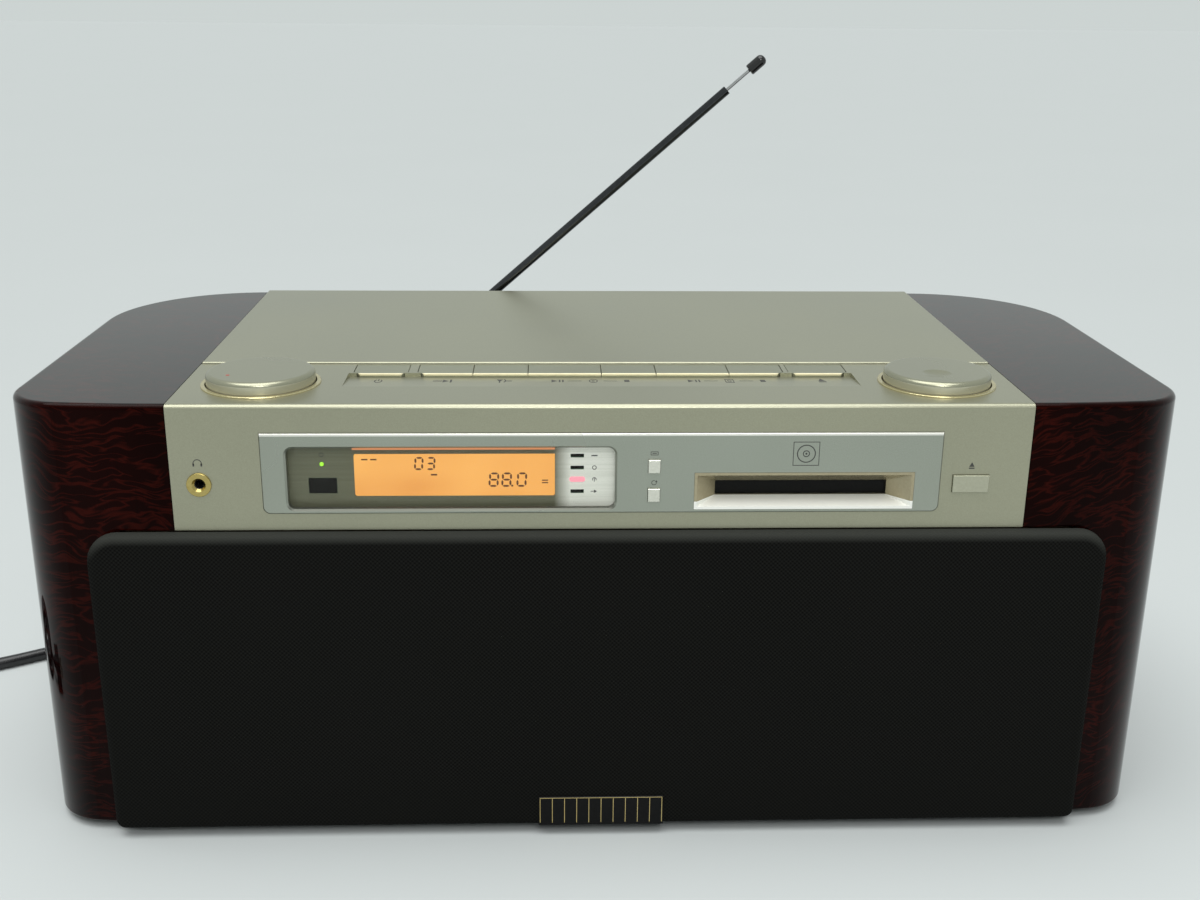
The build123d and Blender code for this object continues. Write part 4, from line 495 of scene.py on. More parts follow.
finishes = {
    "veneer": makeVeneer(),
    "weave": makeGrilleWeave(),
    "clearCover": makeClearCover(),
    "amber": makeAmber(),
    "card": makeWindowCard(),
    "greenLamp": makeLight("greenLamp", (0.1, 0.3, 0.02), (0.40, 0.85, 0.06), 1.0),
    "pinkLamp": makeLight("pinkLamp", (0.5, 0.15, 0.16), (0.92, 0.34, 0.42), 0.9),
    "champagne": surface("champagnePaint", (0.308, 0.306, 0.222), (0.376, 0.373, 0.273), (0.28, 0.36),
                         0.7, grain=2600.0, cloud=5.0, bump=0.012, dust=0.05),
    "champagneKnob": surface("champagneKnob", (0.305, 0.303, 0.218), (0.365, 0.362, 0.265),
                             (0.24, 0.32), 0.75, grain=2600.0, dust=0.04),
    "silver": makeFascia(),
    "slotBezel": surface("slotBezel", (0.36, 0.315, 0.20), (0.43, 0.38, 0.25), (0.2, 0.28), 0.5,
                         dust=0.02),
    "buttonSilver": surface("buttonSilver", (0.62, 0.62, 0.54), (0.74, 0.74, 0.65), (0.16, 0.22), 0.6,
                            dust=0.02),
    "ejectChampagne": surface("ejectChampagne", (0.39, 0.39, 0.29), (0.46, 0.46, 0.35), (0.2, 0.26),
                              0.6, dust=0.02),
    "gilt": surface("giltMetal", (0.62, 0.46, 0.18), (0.75, 0.60, 0.28), (0.18, 0.28), 1.0, grain=600.0,
                    dust=0.05),
    "paleGilt": surface("paleGilt", (0.56, 0.49, 0.27), (0.68, 0.61, 0.37), (0.2, 0.3), 0.9,
                        grain=600.0, dust=0.03),
    "blackPlastic": surface("blackPlastic", (0.010, 0.010, 0.011), (0.019, 0.019, 0.020), (0.38, 0.5),
                            grain=1500.0, bump=0.05, dust=0.03),
    "platterGrey": surface("platterGrey", (0.030, 0.030, 0.032), (0.048, 0.048, 0.050), (0.3, 0.4),
                           grain=1500.0, bump=0.03, dust=0.02),
    "blackGloss": surface("blackGloss", (0.004, 0.004, 0.004), (0.007, 0.007, 0.007), (0.1, 0.18),
                          grain=700.0, bump=0.004, dust=0.02, Specular_IOR_Level=0.12),
    "slotBlack": surface("slotBlack", (0.004, 0.004, 0.004), (0.008, 0.008, 0.007), (0.4, 0.5),
                         dust=0.02, Specular_IOR_Level=0.12),
    "blackSteel": surface("blackSteel", (0.016, 0.016, 0.017), (0.028, 0.028, 0.030), (0.42, 0.55),
                          grain=1900.0, bump=0.06, dust=0.15, metallic=0.2),
    "zincSteel": surface("zincSteel", (0.36, 0.36, 0.35), (0.52, 0.52, 0.50), (0.25, 0.42), 1.0,
                         grain=400.0, cloud=40.0),
    "chrome": surface("chromePlate", (0.045, 0.047, 0.050), (0.070, 0.072, 0.076), (0.05, 0.10), 1.0,
                      grain=500.0, bump=0.003),
    "rod": surface("antennaRod", (0.42, 0.42, 0.42), (0.52, 0.52, 0.52), (0.08, 0.14), 1.0, grain=500.0,
                   bump=0.003),
    "rubber": surface("blackRubber", (0.010, 0.010, 0.010), (0.017, 0.017, 0.016), (0.65, 0.8),
                      grain=1400.0, bump=0.08, dust=0.2),
    "board": surface("circuitBoard", (0.012, 0.060, 0.022), (0.025, 0.095, 0.040), (0.35, 0.5),
                     grain=300.0, cloud=80.0, dust=0.2),
    "chipboard": surface("baffleBoard", (0.16, 0.11, 0.065), (0.30, 0.22, 0.13), (0.8, 0.95),
                         grain=700.0, cloud=60.0, bump=0.3),
    "cone": surface("conePaper", (0.018, 0.018, 0.019), (0.045, 0.045, 0.046), (0.75, 0.9),
                    grain=1100.0, cloud=50.0, bump=0.25),
    "nylon": surface("whiteNylon", (0.60, 0.59, 0.54), (0.72, 0.71, 0.66), (0.35, 0.45), grain=500.0),
    "cord": surface("cordVinyl", (0.009, 0.009, 0.010), (0.016, 0.016, 0.017), (0.22, 0.34), bump=0.03,
                    dust=0.08),
    "plug": surface("plugVinyl", (0.009, 0.009, 0.010), (0.017, 0.017, 0.018), (0.35, 0.5),
                    grain=1200.0, bump=0.04),
    "socket": surface("phonesSocket", (0.40, 0.31, 0.10), (0.50, 0.40, 0.15), (0.18, 0.28), 1.0,
                      grain=600.0),
    "jacks": surface("lineJacks", (0.012, 0.012, 0.012), (0.02, 0.02, 0.02), (0.3, 0.4), grain=600.0),
    "mainBoard": surface("mainBoardParts", (0.012, 0.060, 0.022), (0.025, 0.095, 0.040), (0.35, 0.5),
                         grain=300.0, cloud=80.0, dust=0.2),
    "speakerSteel": surface("speakerSteel", (0.014, 0.014, 0.015), (0.026, 0.026, 0.027), (0.4, 0.5),
                            0.3),
    "transformer": surface("transformerCore", (0.16, 0.15, 0.14), (0.25, 0.24, 0.23), (0.35, 0.5), 0.9,
                           grain=200.0, cloud=60.0),
    "ink": surface("printedInk", (0.040, 0.040, 0.036), (0.055, 0.055, 0.05), (0.5, 0.6), dust=0.0),
    "segment": surface("displaySegment", (0.150, 0.050, 0.013), (0.190, 0.064, 0.018), (0.4, 0.5),
                       dust=0.0),
    "redDot": surface("redInk", (0.45, 0.03, 0.02), (0.55, 0.05, 0.03), (0.4, 0.5), dust=0.0),
    # the keys, with a painted highlight along their front edge
    "keyChampagneWithHighlight": surface("keyChampagne", (0.28, 0.282, 0.20), (0.34, 0.343, 0.248), (0.28, 0.36), 0.7,
                       grain=2600.0, dust=0.03),
}
print("finishes made:", len(finishes))

# The CAD nodes of each finish
nodesOf = {
    "veneer": ["left_cheek", "right_cheek"],
    "champagne": ["front_panel", "cd_lid"],
    "champagneKnob": ["volume_knob", "tuning_knob"],
    "keyChampagneWithHighlight": ["power_key", "line_key", "radio_key", "cd_play_key", "cd_stop_key", "md_play_key",
                "md_stop_key", "open_close_key"],
    "buttonSilver": ["display_button", "play_mode_button"],
    "ejectChampagne": ["eject_button"],
    "silver": ["fascia_plate"], "slotBezel": ["md_bezel"], "slotBlack": ["md_door"],
    "clearCover": ["display_window"], "card": ["display_panel"], "amber": ["lcd_module"],
    "paleGilt": ["knob_rings"], "socket": ["phones_jack"], "jacks": ["line_in_jacks"],
    "weave": ["grille_cloth"], "blackGloss": ["badge_plate"],
    "blackPlastic": ["lid_liner", "grille_frame", "cd_well", "cd_pickup", "antenna_base"],
    "platterGrey": ["cd_turntable"],
    "blackSteel": ["back_panel", "base_chassis"],
    "zincSteel": ["lid_motor", "cover_screws", "md_deck", "md_turntable", "cd_mechanism"],
    "chrome": ["antenna_knuckle", "antenna_outer_tube", "antenna_middle_tube"], "rod": ["antenna_tip"],
    "board": ["front_boards", "control_board"], "mainBoard": ["main_board"],
    "transformer": ["power_transformer"], "nylon": ["lid_drive_gear"], "chipboard": ["baffle_board"],
    "speakerSteel": ["speaker_frames"], "cone": ["left_cone", "right_cone"],
    "rubber": ["feet", "strain_relief", "cord_tie"], "cord": ["mains_cord", "cord_coil"],
    "plug": ["mains_plug"],
}
for finish, nodeNames in nodesOf.items():
    for nodeName in nodeNames:
        for materialSlot in nodes[nodeName].material_slots:
            materialSlot.material = finishes[finish]
print("CAD nodes finished:", sum(len(nodeNames) for nodeNames in nodesOf.values()), "of", len(nodes))


# Mains cord, in millimetres but for its length in metres. The route is that of the free stretch
cordFacts = {"diameter": 6.6, "length": 1.81, "tailSwell": 1.03,
             "route": [(-120, 247.5, 22), (-120, 281, 22), (-140, 312, 10.5), (-178, 313, 4.2),
                       (-209, 283, 3.3), (-233, 244, 3.3), (-268, 202, 3.3), (-318.8, 167, 3.3),
                       (-354, 149, 3.5), (-386.14, 142.22, 4.3), (-412.0, 139.5, 4.3)],
             "coilMiddle": (-414.05, 95.85, 4.3), "coilTurn": 96.0, "outerRadius": 43.2, "pitch": 7.2,
             "halfTurns": 6, "pointsPerHalf": 8, "tailRadius": 20.0, "lead": 6.6}


# The coil's turns, in its own frame: half circles that spiral in on the lower layer and out on the upper
def coilPoints():
    f = cordFacts
    pointsEach = f["pointsPerHalf"]
    radii = [f["outerRadius"] - number * f["pitch"] / 2 for number in range(f["halfTurns"] + 1)]
    radii += radii[:-1][::-1]
    swell = 2 / (1 + math.cos(math.pi / pointsEach / 2))
    points, x = [], f["outerRadius"]
    for number, radius in enumerate(radii):
        way = 1 if number % 2 == 0 else -1
        middle = x - way * radius
        for step in range(pointsEach):
            part = (step + 0.5) / pointsEach
            angle = math.pi * part
            low = 0 if number < f["halfTurns"] else f["pitch"]
            height = f["pitch"] * part if number == f["halfTurns"] else low
            reach = way * radius * swell
            points.append((middle + reach * math.cos(angle), reach * math.sin(angle), height))
        x -= way * 2 * radius
    tail = f["tailRadius"]
    for part in (0.25, 0.75):
        angle = math.pi / 2 * part
        points.append((x - tail * (1 - math.cos(angle)), -tail * math.sin(angle) * f["tailSwell"],
                       f["pitch"]))
    points.append((x - tail, -tail, f["pitch"]))
    points.append((x - tail - f["lead"], -tail, f["pitch"]))
    return points


def makeCord():
    f = cordFacts
    turnCos, turnSin = math.cos(math.radians(f["coilTurn"])), math.sin(math.radians(f["coilTurn"]))
    midX, midY, midZ = f["coilMiddle"]
    points = [at(*point) for point in f["route"]]
    for x, y, z in coilPoints():
        points.append(at(midX + x * turnCos - y * turnSin, midY + x * turnSin + y * turnCos, midZ + z))
    line = bpy.data.curves.new("mainsCord", "CURVE")
    line.dimensions = "3D"
    spline = line.splines.new("NURBS")
    spline.points.add(len(points) - 1)
    for knot, point in zip(spline.points, points):
        knot.co = (*point, 1)
    spline.order_u = 3
    spline.use_endpoint_u = True
    line.resolution_u = 10
    line.bevel_depth = f["diameter"] / 2000
    line.bevel_resolution = 4
    line.use_fill_caps = True
    cord = bpy.data.objects.new("mainsCord", line)
    scene.collection.objects.link(cord)
    line.materials.append(finishes["cord"])
    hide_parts("mains_cord", "cord_coil")
    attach(cord, "cabinet")
    print("cord made:", len(points), "points")


makeCord()


# Modelling helpers
def pickNothing():
    if bpy.context.object and bpy.context.object.mode != "OBJECT":
        bpy.ops.object.mode_set(mode="OBJECT")
    bpy.ops.object.select_all(action="DESELECT")


# Selects the faces or edges of the piece in edit mode for which the test holds
def pick(kind, test):
    bpy.ops.mesh.select_mode(type={"faces": "FACE", "edges": "EDGE"}[kind])
    bpy.ops.mesh.select_all(action="DESELECT")
    mesh = bmesh.from_edit_mesh(bpy.context.object.data)
    chosen = [part for part in getattr(mesh, kind) if test(part)]
    for part in chosen:
        part.select = True
    mesh.select_flush_mode()
    bmesh.update_edit_mesh(bpy.context.object.data)


# A length in metres too small to matter
hair = 0.00001


# Whether an edge runs from front to back
def runsBack(edge):
    return abs(edge.verts[0].co.y - edge.verts[1].co.y) > hair


# Whether an edge lies in the upright plane at y
def liesIn(edge, y):
    return all(abs(vert.co.y - y) < hair for vert in edge.verts)


def bevel(width, segments):
    bpy.ops.mesh.bevel(offset=width / 1000, segments=segments, profile=0.5)


def middleOf(part):
    return sum((vert.co for vert in part.verts), Vector()) / len(part.verts)


# The direction of a face's middle, in degrees from the x axis
def angleOf(face):
    middle = middleOf(face)
    return math.degrees(math.atan2(middle.y, middle.x)) % 360


def freeze(piece):
    pickNothing()
    piece.select_set(True)
    bpy.context.view_layer.objects.active = piece
    bpy.ops.object.transform_apply(location=True, rotation=True, scale=True)


def startBlock(name, lowest, highest):
    pickNothing()
    bpy.ops.mesh.primitive_cube_add(size=1, location=(lowest + highest) / 2)
    piece = bpy.context.object
    piece.name = name
    piece.scale = highest - lowest
    freeze(piece)
    return piece


def finishPiece(piece, finish, body="cabinet", smooth=30):
    freeze(piece)
    if smooth:
        bpy.ops.object.shade_smooth_by_angle(angle=math.radians(smooth))
    piece.data.materials.clear()
    piece.data.materials.append(finishes[finish])
    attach(piece, body)


# Grille cloth
cloth = {"half": 218.0, "low": 4.0, "high": 146.0, "front": -6.0, "back": -0.3, "topCorner": 13.0,
         "lowCorner": 4.6, "edge": 4.4, "thickness": 0.5, "segments": (9, 6, 7)}


def makeGrilleCloth():
    piece = startBlock("grilleCloth", at(-cloth["half"], cloth["front"], cloth["low"]),
                       at(cloth["half"], cloth["back"], cloth["high"]))
    bpy.ops.object.mode_set(mode="EDIT")
    front, middle = at(0, cloth["front"], 0).y, (cloth["low"] + cloth["high"]) / 2000
    topSegments, lowSegments, edgeSegments = cloth["segments"]

    def isLowCorner(edge):
        outside = abs(edge.verts[0].co.x) > cloth["half"] / 1000 - hair
        return runsBack(edge) and middleOf(edge).z < middle and outside

    pick("edges", lambda edge: runsBack(edge) and middleOf(edge).z > middle)
    bevel(cloth["topCorner"], topSegments)
    pick("edges", isLowCorner)
    bevel(cloth["lowCorner"], lowSegments)
    pick("edges", lambda edge: liesIn(edge, front))
    bevel(cloth["edge"], edgeSegments)
    pick("faces", lambda face: face.normal.y > 0.9)
    bpy.ops.mesh.delete(type="FACE")
    bpy.ops.object.mode_set(mode="OBJECT")
    wall = piece.modifiers.new("clothWall", "SOLIDIFY")
    wall.thickness = cloth["thickness"] / 1000
    wall.offset = -1
    bpy.ops.object.modifier_apply(modifier="clothWall")
    finishPiece(piece, "weave", smooth=40)
    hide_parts("grille_cloth")
    print("grille cloth made")


makeGrilleCloth()


# The corners of the disc that a shape is made from, and the width of a hexagon that is 1 high
corners = {"triangle": 3, "dot": 24, "ring": 36, "segment": 6}
hexagonWidth = 0.866


# Flat signs and marks. Each shape is drawn flat about its middle in millimetres, and the whole sign is
# then stood or laid on its face. A shape is its kind, its place, its sizes and, for some kinds, angles in
# degrees: a triangle points right at 0 and up at 90, and a ring is open between its two angles
def drawDisc(kind, radius, x, y):
    bpy.ops.mesh.primitive_circle_add(vertices=corners[kind], radius=radius, fill_type="NGON",
                                      location=(x, y, 0))


def drawShape(shape):
    kind, x, y = shape[0], shape[1] / 1000, shape[2] / 1000
    if kind == "bar":
        bpy.ops.mesh.primitive_plane_add(size=1, location=(x, y, 0))
        bpy.context.object.scale = (shape[3] / 1000, shape[4] / 1000, 1)
    elif kind == "triangle":
        drawDisc(kind, shape[3] / 1000, x, y)
        bpy.context.object.rotation_euler.z = math.radians(shape[4] - 90)
    elif kind == "dot":
        drawDisc(kind, shape[3] / 1000, x, y)
    elif kind == "ring":
        radius, width, gapStart, gapEnd = shape[3] / 1000, shape[4] / 1000, shape[5], shape[6]
        drawDisc(kind, radius, x, y)
        bpy.ops.object.mode_set(mode="EDIT")
        bpy.ops.mesh.select_all(action="SELECT")
        bpy.ops.mesh.inset(thickness=width)
        bpy.ops.mesh.delete(type="FACE")
        if gapEnd > gapStart:
            pick("faces", lambda face: gapStart < angleOf(face) < gapEnd)
            bpy.ops.mesh.delete(type="FACE")
        bpy.ops.object.mode_set(mode="OBJECT")
    elif kind == "segment":
        width, height, upright = shape[3] / 1000, shape[4] / 1000, shape[5]
        drawDisc(kind, 0.5, x, y)
        bpy.context.object.scale = (width / hexagonWidth, height, 1)
        bpy.context.object.rotation_euler.z = 0 if upright else math.pi / 2
    part = bpy.context.object
    bpy.ops.object.transform_apply(location=True, rotation=True, scale=True)
    return part


# stand is "front" for a face that looks forward, "top" for one that looks up, or a tilt in degrees
def makeSign(name, shapes, place, finish, stand="front", thickness=0.05,
             body="cabinet", tall=1.0):
    parts = []
    for shape in shapes:
        pickNothing()
        parts.append(drawShape(shape))
    pickNothing()
    for part in parts:
        part.select_set(True)
    bpy.context.view_layer.objects.active = parts[0]
    if len(parts) > 1:
        bpy.ops.object.join()
    piece = bpy.context.object
    piece.name = name
    bpy.ops.object.mode_set(mode="EDIT")
    bpy.ops.mesh.select_all(action="SELECT")
    bpy.ops.mesh.extrude_region_move(TRANSFORM_OT_translate={"value": (0, 0, thickness / 1000)})
    bpy.ops.mesh.select_all(action="SELECT")
    bpy.ops.mesh.normals_make_consistent(inside=False)
    bpy.ops.object.mode_set(mode="OBJECT")
    piece.rotation_euler = (math.radians({"front": 90, "top": 0}.get(stand, stand)), 0, 0)
    piece.scale.y = tall
    piece.location = place
    finishPiece(piece, finish, body=body, smooth=0)


powerShapes = [("ring", 0, 0, 1.25, 0.32, 62, 118), ("bar", 0, 0.75, 0.32, 1.3)]
playPauseShapes = [("triangle", -1.6, 0, 1.3, 0), ("bar", 0.5, 0, 0.55, 2.0),
                   ("bar", 1.6, 0, 0.55, 2.0)]
stopShapes = [("bar", 0, 0, 1.9, 1.9)]
ejectShapes = [("triangle", 0, 0.45, 1.25, 90), ("bar", 0, -0.75, 2.2, 0.5)]
discShapes = [("ring", 0, 0, 1.5, 0.3, 0, 0), ("ring", 0, 0, 0.5, 0.22, 0, 0)]
cartridgeShapes = [("bar", 0, 1.35, 3.0, 0.3), ("bar", 0, -1.35, 3.0, 0.3), ("bar", -1.35, 0, 0.3, 2.4),
                   ("bar", 1.35, 0, 0.3, 2.4), ("ring", 0, 0, 0.75, 0.25, 0, 0)]


# The same shapes moved and grown. Only lengths grow, not angles
def shifted(shapes, x, y=0.0, grow=1.0):
    moved = []
    for kind, shapeX, shapeY, *sizes in shapes:
        lengths = 1 if kind in ("triangle", "dot") else 2
        sizes = [size * grow if place < lengths else size for place, size in enumerate(sizes)]
        moved.append((kind, shapeX * grow + x, shapeY * grow + y, *sizes))
    return moved


# Signs printed in the groove before the keys, which falls by its drop over its run
groove = {"deck": 201.65, "drop": 1.7, "run": 22.0, "signsIn": 12.0, "signsY": 40.0, "sunk": 0.01,
          "tall": 2.0}
lineShapes = [("bar", -2.4, 0, 3.4, 0.6), ("triangle", 0.2, 0, 1.4, 0), ("bar", 2.4, 0, 0.7, 2.6)]
radioShapes = [("triangle", 0, 0.7, 1.4, 270), ("bar", 0, -0.8, 0.55, 1.8),
               ("ring", 0, 0.2, 2.4, 0.45, 40, 320), ("bar", 3.5, 0, 2.2, 0.55)]
partingLine = [("bar", 0, 0, 6.0, 0.3)]
# from a deck's first sign to its other signs and to the lines that part them
deckSteps = {"firstLine": 7.3, "medium": 15.5, "secondLine": 23.0, "stop": 30.3}
# each sign: its shapes, its x and how much it is grown
keySigns = [(powerShapes, -97.9, 1.45), (lineShapes, -69.0, 1.2), (radioShapes, -44.7, 1.15)]
for deckX, deckShapes in ((-19.0, discShapes), (41.3, cartridgeShapes)):
    keySigns += [(playPauseShapes, deckX, 1.3), (partingLine, deckX + deckSteps["firstLine"], 1.0),
                 (deckShapes, deckX + deckSteps["medium"], 1.3),
                 (partingLine, deckX + deckSteps["secondLine"], 1.0),
                 (stopShapes, deckX + deckSteps["stop"], 1.2)]
keySigns.append((ejectShapes, 98.0, 1.5))


def makeKeySigns():
    shapes = []
    for signShapes, x, grow in keySigns:
        shapes += shifted(signShapes, x, grow=grow)
    slope = -math.degrees(math.atan2(groove["drop"], groove["run"]))
    height = groove["deck"] - groove["drop"] * groove["signsIn"] / groove["run"] - groove["sunk"]
    makeSign("keySigns", shapes, at(0, groove["signsY"], height), "ink", stand=slope,
             tall=groove["tall"])


makeKeySigns()


# Signs on the champagne front and on the silver fascia, which stands a little proud of it
signFaces = {"front": 0.01, "fascia": -0.79}
phonesShapes = [("ring", 0, -0.3, 1.9, 0.35, 200, 340), ("bar", -1.65, -0.9, 0.7, 1.3),
                ("bar", 1.65, -0.9, 0.7, 1.3)]
panelShapes = [("bar", 0, 0.7, 3.2, 0.25), ("bar", 0, -0.7, 3.2, 0.25), ("bar", -1.5, 0, 0.25, 1.2),
               ("bar", 1.5, 0, 0.25, 1.2), ("bar", 0, 0, 1.8, 0.3)]
repeatShapes = [("ring", 0, 0, 1.1, 0.25, 20, 70), ("triangle", 0.95, 0.55, 0.6, 330)]
# a plain disc in its square case, where the maker's disc mark was
caseShapes = [("bar", 0, 5.15, 11.2, 0.3), ("bar", 0, -5.15, 11.2, 0.3), ("bar", -5.45, 0, 0.3, 10.0),
              ("bar", 5.45, 0, 0.3, 10.0), ("ring", 0, 0, 4.0, 0.45, 0, 0),
              ("ring", 0, 0, 1.5, 0.4, 0, 0), ("dot", 0, 0, 0.45)]
frontSigns = {
    "phonesSign": (phonesShapes, -169, "front", 176.6),
    "ejectSign": (shifted(ejectShapes, 0, grow=1.1), 156.05, "front", 174.2),
    "displaySign": (panelShapes, 21.1, "fascia", 180.6),
    "playModeSign": (repeatShapes, 21.1, "fascia", 167.6),
    "discSign": (caseShapes, 85, "fascia", 180.3),
}


def makeFrontSigns():
    for name, (shapes, x, face, z) in frontSigns.items():
        makeSign(name, shapes, at(x, signFaces[face], z), "ink")
    print("signs made:", len(frontSigns) + 1)


makeFrontSigns()


# Display: digits, small signs, lamps. The bars of a seven-bar digit go by the letters a to g
sevenBars = {"0": "abcdef", "3": "abcdg", "8": "abcdefg"}
display = {"left": -105.0, "low": 160.2, "middle": (42.2, 9.25), "inkY": 4.45, "cardY": 4.6,
           "thickness": 0.04, "barShare": 0.9, "slant": 0.1, "sourceX": -3.9, "sourceZ": 161.9,
           "powerX": -118.5, "powerZ": 178.6, "powerGrow": 0.8}
# each number: its digits, the gap before the last one, the first digit's x and z, the step from digit to
# digit, and a digit's width, height and stroke
numbers = [("03", 0.0, 25.4, 11.9, 5.0, 3.0, 5.0, 0.80), ("880", 1.0, 56.6, 4.3, 5.4, 3.4, 5.6, 0.85)]
displayMarks = [("bar", 66.3, 4.4, 0.8, 0.8), ("bar", 33.4, 9.4, 2.6, 0.7),
                ("bar", 80.2, 6.8, 2.6, 0.5), ("bar", 80.2, 5.7, 2.6, 0.5),
                ("bar", 4.4, 16.2, 2.6, 0.6), ("bar", 8.2, 16.2, 2.6, 0.6)]
sourceShapes = [("bar", 0, 16.0, 2.6, 0.5), ("ring", 0, 10.66, 0.95, 0.3, 0, 0),
                ("ring", 0, 5.33, 0.95, 0.3, 210, 330), ("bar", 0, 5.1, 0.3, 1.5),
                ("triangle", 0.3, 0, 0.85, 0), ("bar", -0.9, 0, 1.2, 0.3)]


# A seven-bar digit of the given height, its lower left corner at x, z
def digitShapes(digit, x, z, width, height, stroke):
    half = height / 2
    places = {"a": (width / 2, height, 0), "g": (width / 2, half, 0), "d": (width / 2, 0, 0),
              "f": (0, 1.5 * half, 1), "b": (width, 1.5 * half, 1), "e": (0, 0.5 * half, 1),
              "c": (width, 0.5 * half, 1)}
    shapes = []
    for bar in sevenBars[digit]:
        barX, barZ, upright = places[bar]
        length = (half if upright else width) * display["barShare"]
        shapes.append(("segment", x + barX + display["slant"] * barZ, z + barZ, stroke, length,
                       upright))
    return shapes


def makeDisplay():
    shapes = []
    for digits, gap, x, z, step, width, height, stroke in numbers:
        for place, digit in enumerate(digits):
            extra = gap if place == len(digits) - 1 else 0
            shapes += digitShapes(digit, x + place * step + extra, z, width, height, stroke)
    shapes += displayMarks
    midX, midZ = display["middle"]
    place = at(display["left"] + midX, display["inkY"], display["low"] + midZ)
    makeSign("displaySegments", shifted(shapes, -midX, -midZ), place, "segment",
             thickness=display["thickness"])
    place = at(display["sourceX"], display["cardY"], display["sourceZ"])
    makeSign("sourceSigns", sourceShapes, place, "ink")
    place = at(display["powerX"], display["cardY"], display["powerZ"])
    makeSign("powerSign", shifted(powerShapes, 0, grow=display["powerGrow"]), place, "ink")


makeDisplay()


# Each lens: x, z, half width, half height, front, rounding, finish and slot
lenses = {"powerLamp": (-118.5, 174.4, 0.9, 0.9, 4.3, 0.8, "greenLamp", "clear_window"),
          "remoteSensor": (-118.4, 164.8, 5.85, 3.35, 4.45, 0.5, "blackGloss", "black_plastic")}
lensShape = {"back": 5.2, "rim": 0.15, "cornerSegments": 5, "rimSegments": 2}
# the row of source lamps, the second from below lit: a lamp's half width, half height, front and finish
lamps = {"x": -11.15, "low": 162.05, "step": 5.33, "count": 4, "litOne": 1, "roundShare": 0.85,
         "lit": (3.3, 1.1, 4.2, "pinkLamp"), "dark": (2.7, 0.62, 4.5, "blackGloss")}
for number in range(lamps["count"]):
    wide, high, front, finish = lamps["lit" if number == lamps["litOne"] else "dark"]
    height, rounding = lamps["low"] + lamps["step"] * number, high * lamps["roundShare"]
    lamp = (lamps["x"], height, wide, high, front, rounding, finish, "clear_window")
    lenses["sourceLamp" + str(number + 1)] = lamp


# A lamp or lens that stands a little proud of its hole in the card: a block with its front edges rounded
def makeLens(name, x, z, halfWidth, halfHeight, front, rounding, finish, slotName):
    piece = startBlock(name, at(x - halfWidth, front, z - halfHeight),
                       at(x + halfWidth, lensShape["back"], z + halfHeight))
    bpy.ops.object.mode_set(mode="EDIT")
    frontY = at(0, front, 0).y
    pick("edges", runsBack)
    bevel(rounding, lensShape["cornerSegments"])
    pick("edges", lambda edge: liesIn(edge, frontY))
    bevel(min(rounding, lensShape["rim"]), lensShape["rimSegments"])
    bpy.ops.object.mode_set(mode="OBJECT")
    finishPiece(piece, finish, smooth=50)


for lensName, lens in lenses.items():
    makeLens(lensName, *lens)
print("display made")


# Badge: a plain black plaque with fine upright gilt lines under a thin bar
badge = {"y": -6.99, "z": 12.5, "bar": ("bar", 0, 6.85, 55.2, 0.26), "step": 5.49, "sideLines": 5,
         "line": (0.4, 0.28, 12.4)}


def makeBadge():
    shapes = [badge["bar"]]
    for number in range(-badge["sideLines"], badge["sideLines"] + 1):
        shapes.append(("bar", badge["step"] * number, *badge["line"]))
    makeSign("badgeLines", shapes, at(0, badge["y"], badge["z"]), "gilt")


makeBadge()


# Red index dot on the volume knob
indexDot = {"radius": 0.8, "place": (-159.5, 24.5, 207.64)}
makeSign("volumeDot", [("dot", 0, 0, indexDot["radius"])], at(*indexDot["place"]), "redDot",
         stand="top", body="volume")
print("badge and index dot made")


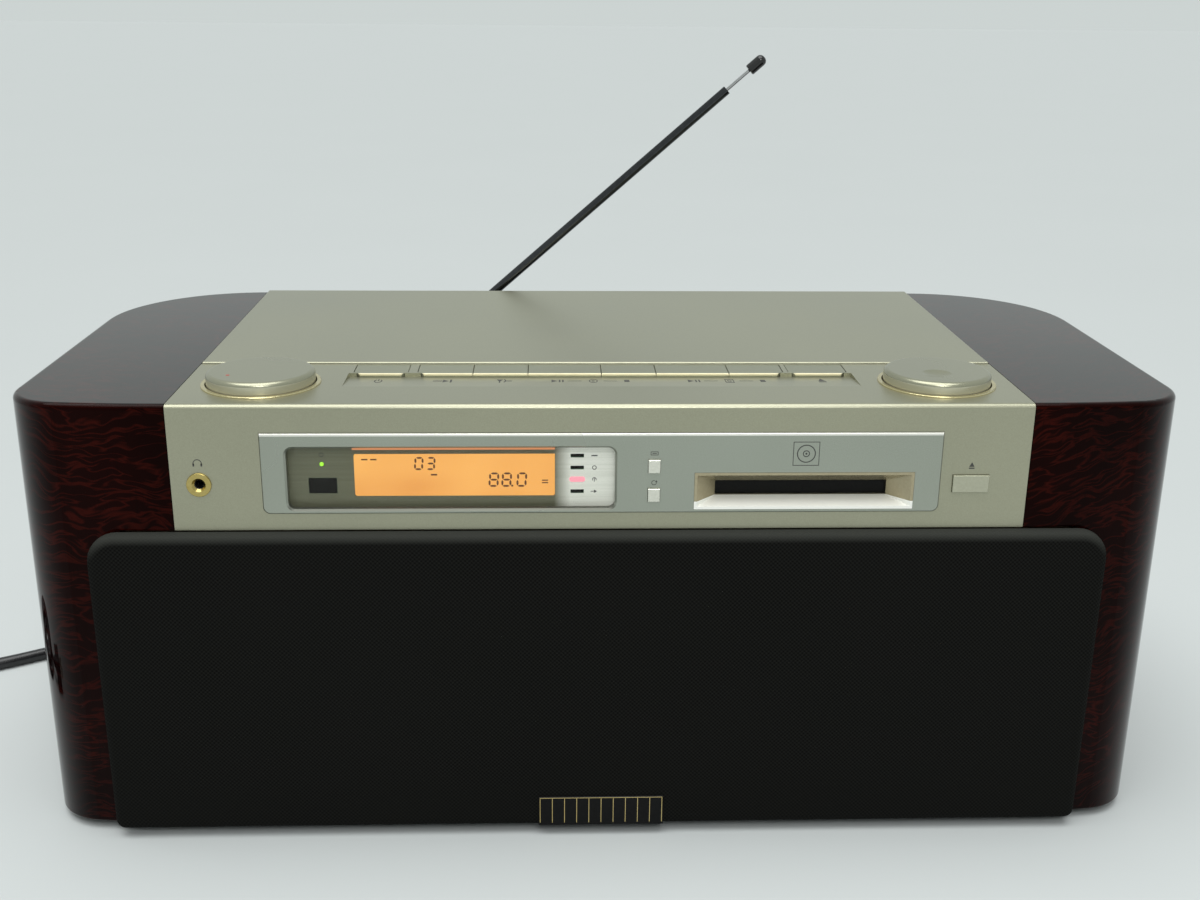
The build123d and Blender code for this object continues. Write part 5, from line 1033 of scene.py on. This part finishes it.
# The floor is wide and evenly lit, so that it meets the pale air behind it without a line
studio = {"floorColour": (0.60, 0.635, 0.63), "floorSize": 30.0, "airColour": (0.925, 1.0, 0.985),
          "airShown": 0.655, "airLight": 0.26, "sunTurn": (8, -6, 0), "sunPower": 2.4, "sunWidth": 58,
          "boxPlace": (0.10, -1.50, 1.25), "boxTurn": (50.6, 0, 4), "boxSize": 0.7, "boxPower": 9.0}


def makeFloor():
    pickNothing()
    bpy.ops.mesh.primitive_grid_add(x_subdivisions=8, y_subdivisions=8, size=studio["floorSize"],
                                    location=(0, 0, 0))
    floor = bpy.context.object
    floor.name = "paperFloor"
    paper, tree, shader = newMaterial("floorPaper", Specular_IOR_Level=0.2)
    cloud = noise(tree, objectPlace(tree), 3.0)
    colour = studio["floorColour"]
    feed(tree, shader, "Base Color", mixColours(tree, cloud, colour, tuple(c * 1.03 for c in colour)))
    feed(tree, shader, "Roughness", between(tree, cloud, *broad, 0.75, 0.85))
    floor.data.materials.append(paper)


def makeAir():
    world = bpy.data.worlds.new("studioAir")
    scene.world = world
    world.use_nodes = True
    tree = world.node_tree
    air = tree.nodes["Background"]
    air.inputs["Color"].default_value = (*studio["airColour"], 1)
    path = tree.nodes.new("ShaderNodeLightPath")
    seen = calc(tree, "MAXIMUM", path.outputs["Is Camera Ray"], path.outputs["Is Glossy Ray"])
    seen = calc(tree, "MAXIMUM", seen, path.outputs["Is Transmission Ray"])
    tree.links.new(between(tree, seen, 0, 1, studio["airLight"], studio["airShown"]),
                   air.inputs["Strength"])


def makeSun():
    bpy.ops.object.light_add(type="SUN", location=(0, 0, 3))
    sun = bpy.context.object
    sun.name = "softSun"
    sun.rotation_euler = [math.radians(turn) for turn in studio["sunTurn"]]
    sun.data.energy = studio["sunPower"]
    sun.data.angle = math.radians(studio["sunWidth"])


# A weak softbox high in front, which lifts the upright faces and the floor before them
def makeSoftbox():
    bpy.ops.object.light_add(type="AREA", location=studio["boxPlace"])
    box = bpy.context.object
    box.name = "frontSoftbox"
    box.rotation_euler = [math.radians(turn) for turn in studio["boxTurn"]]
    box.data.shape = "DISK"
    box.data.size = studio["boxSize"]
    box.data.energy = studio["boxPower"]


makeFloor()
makeAir()
makeSun()
makeSoftbox()
print("studio lit")
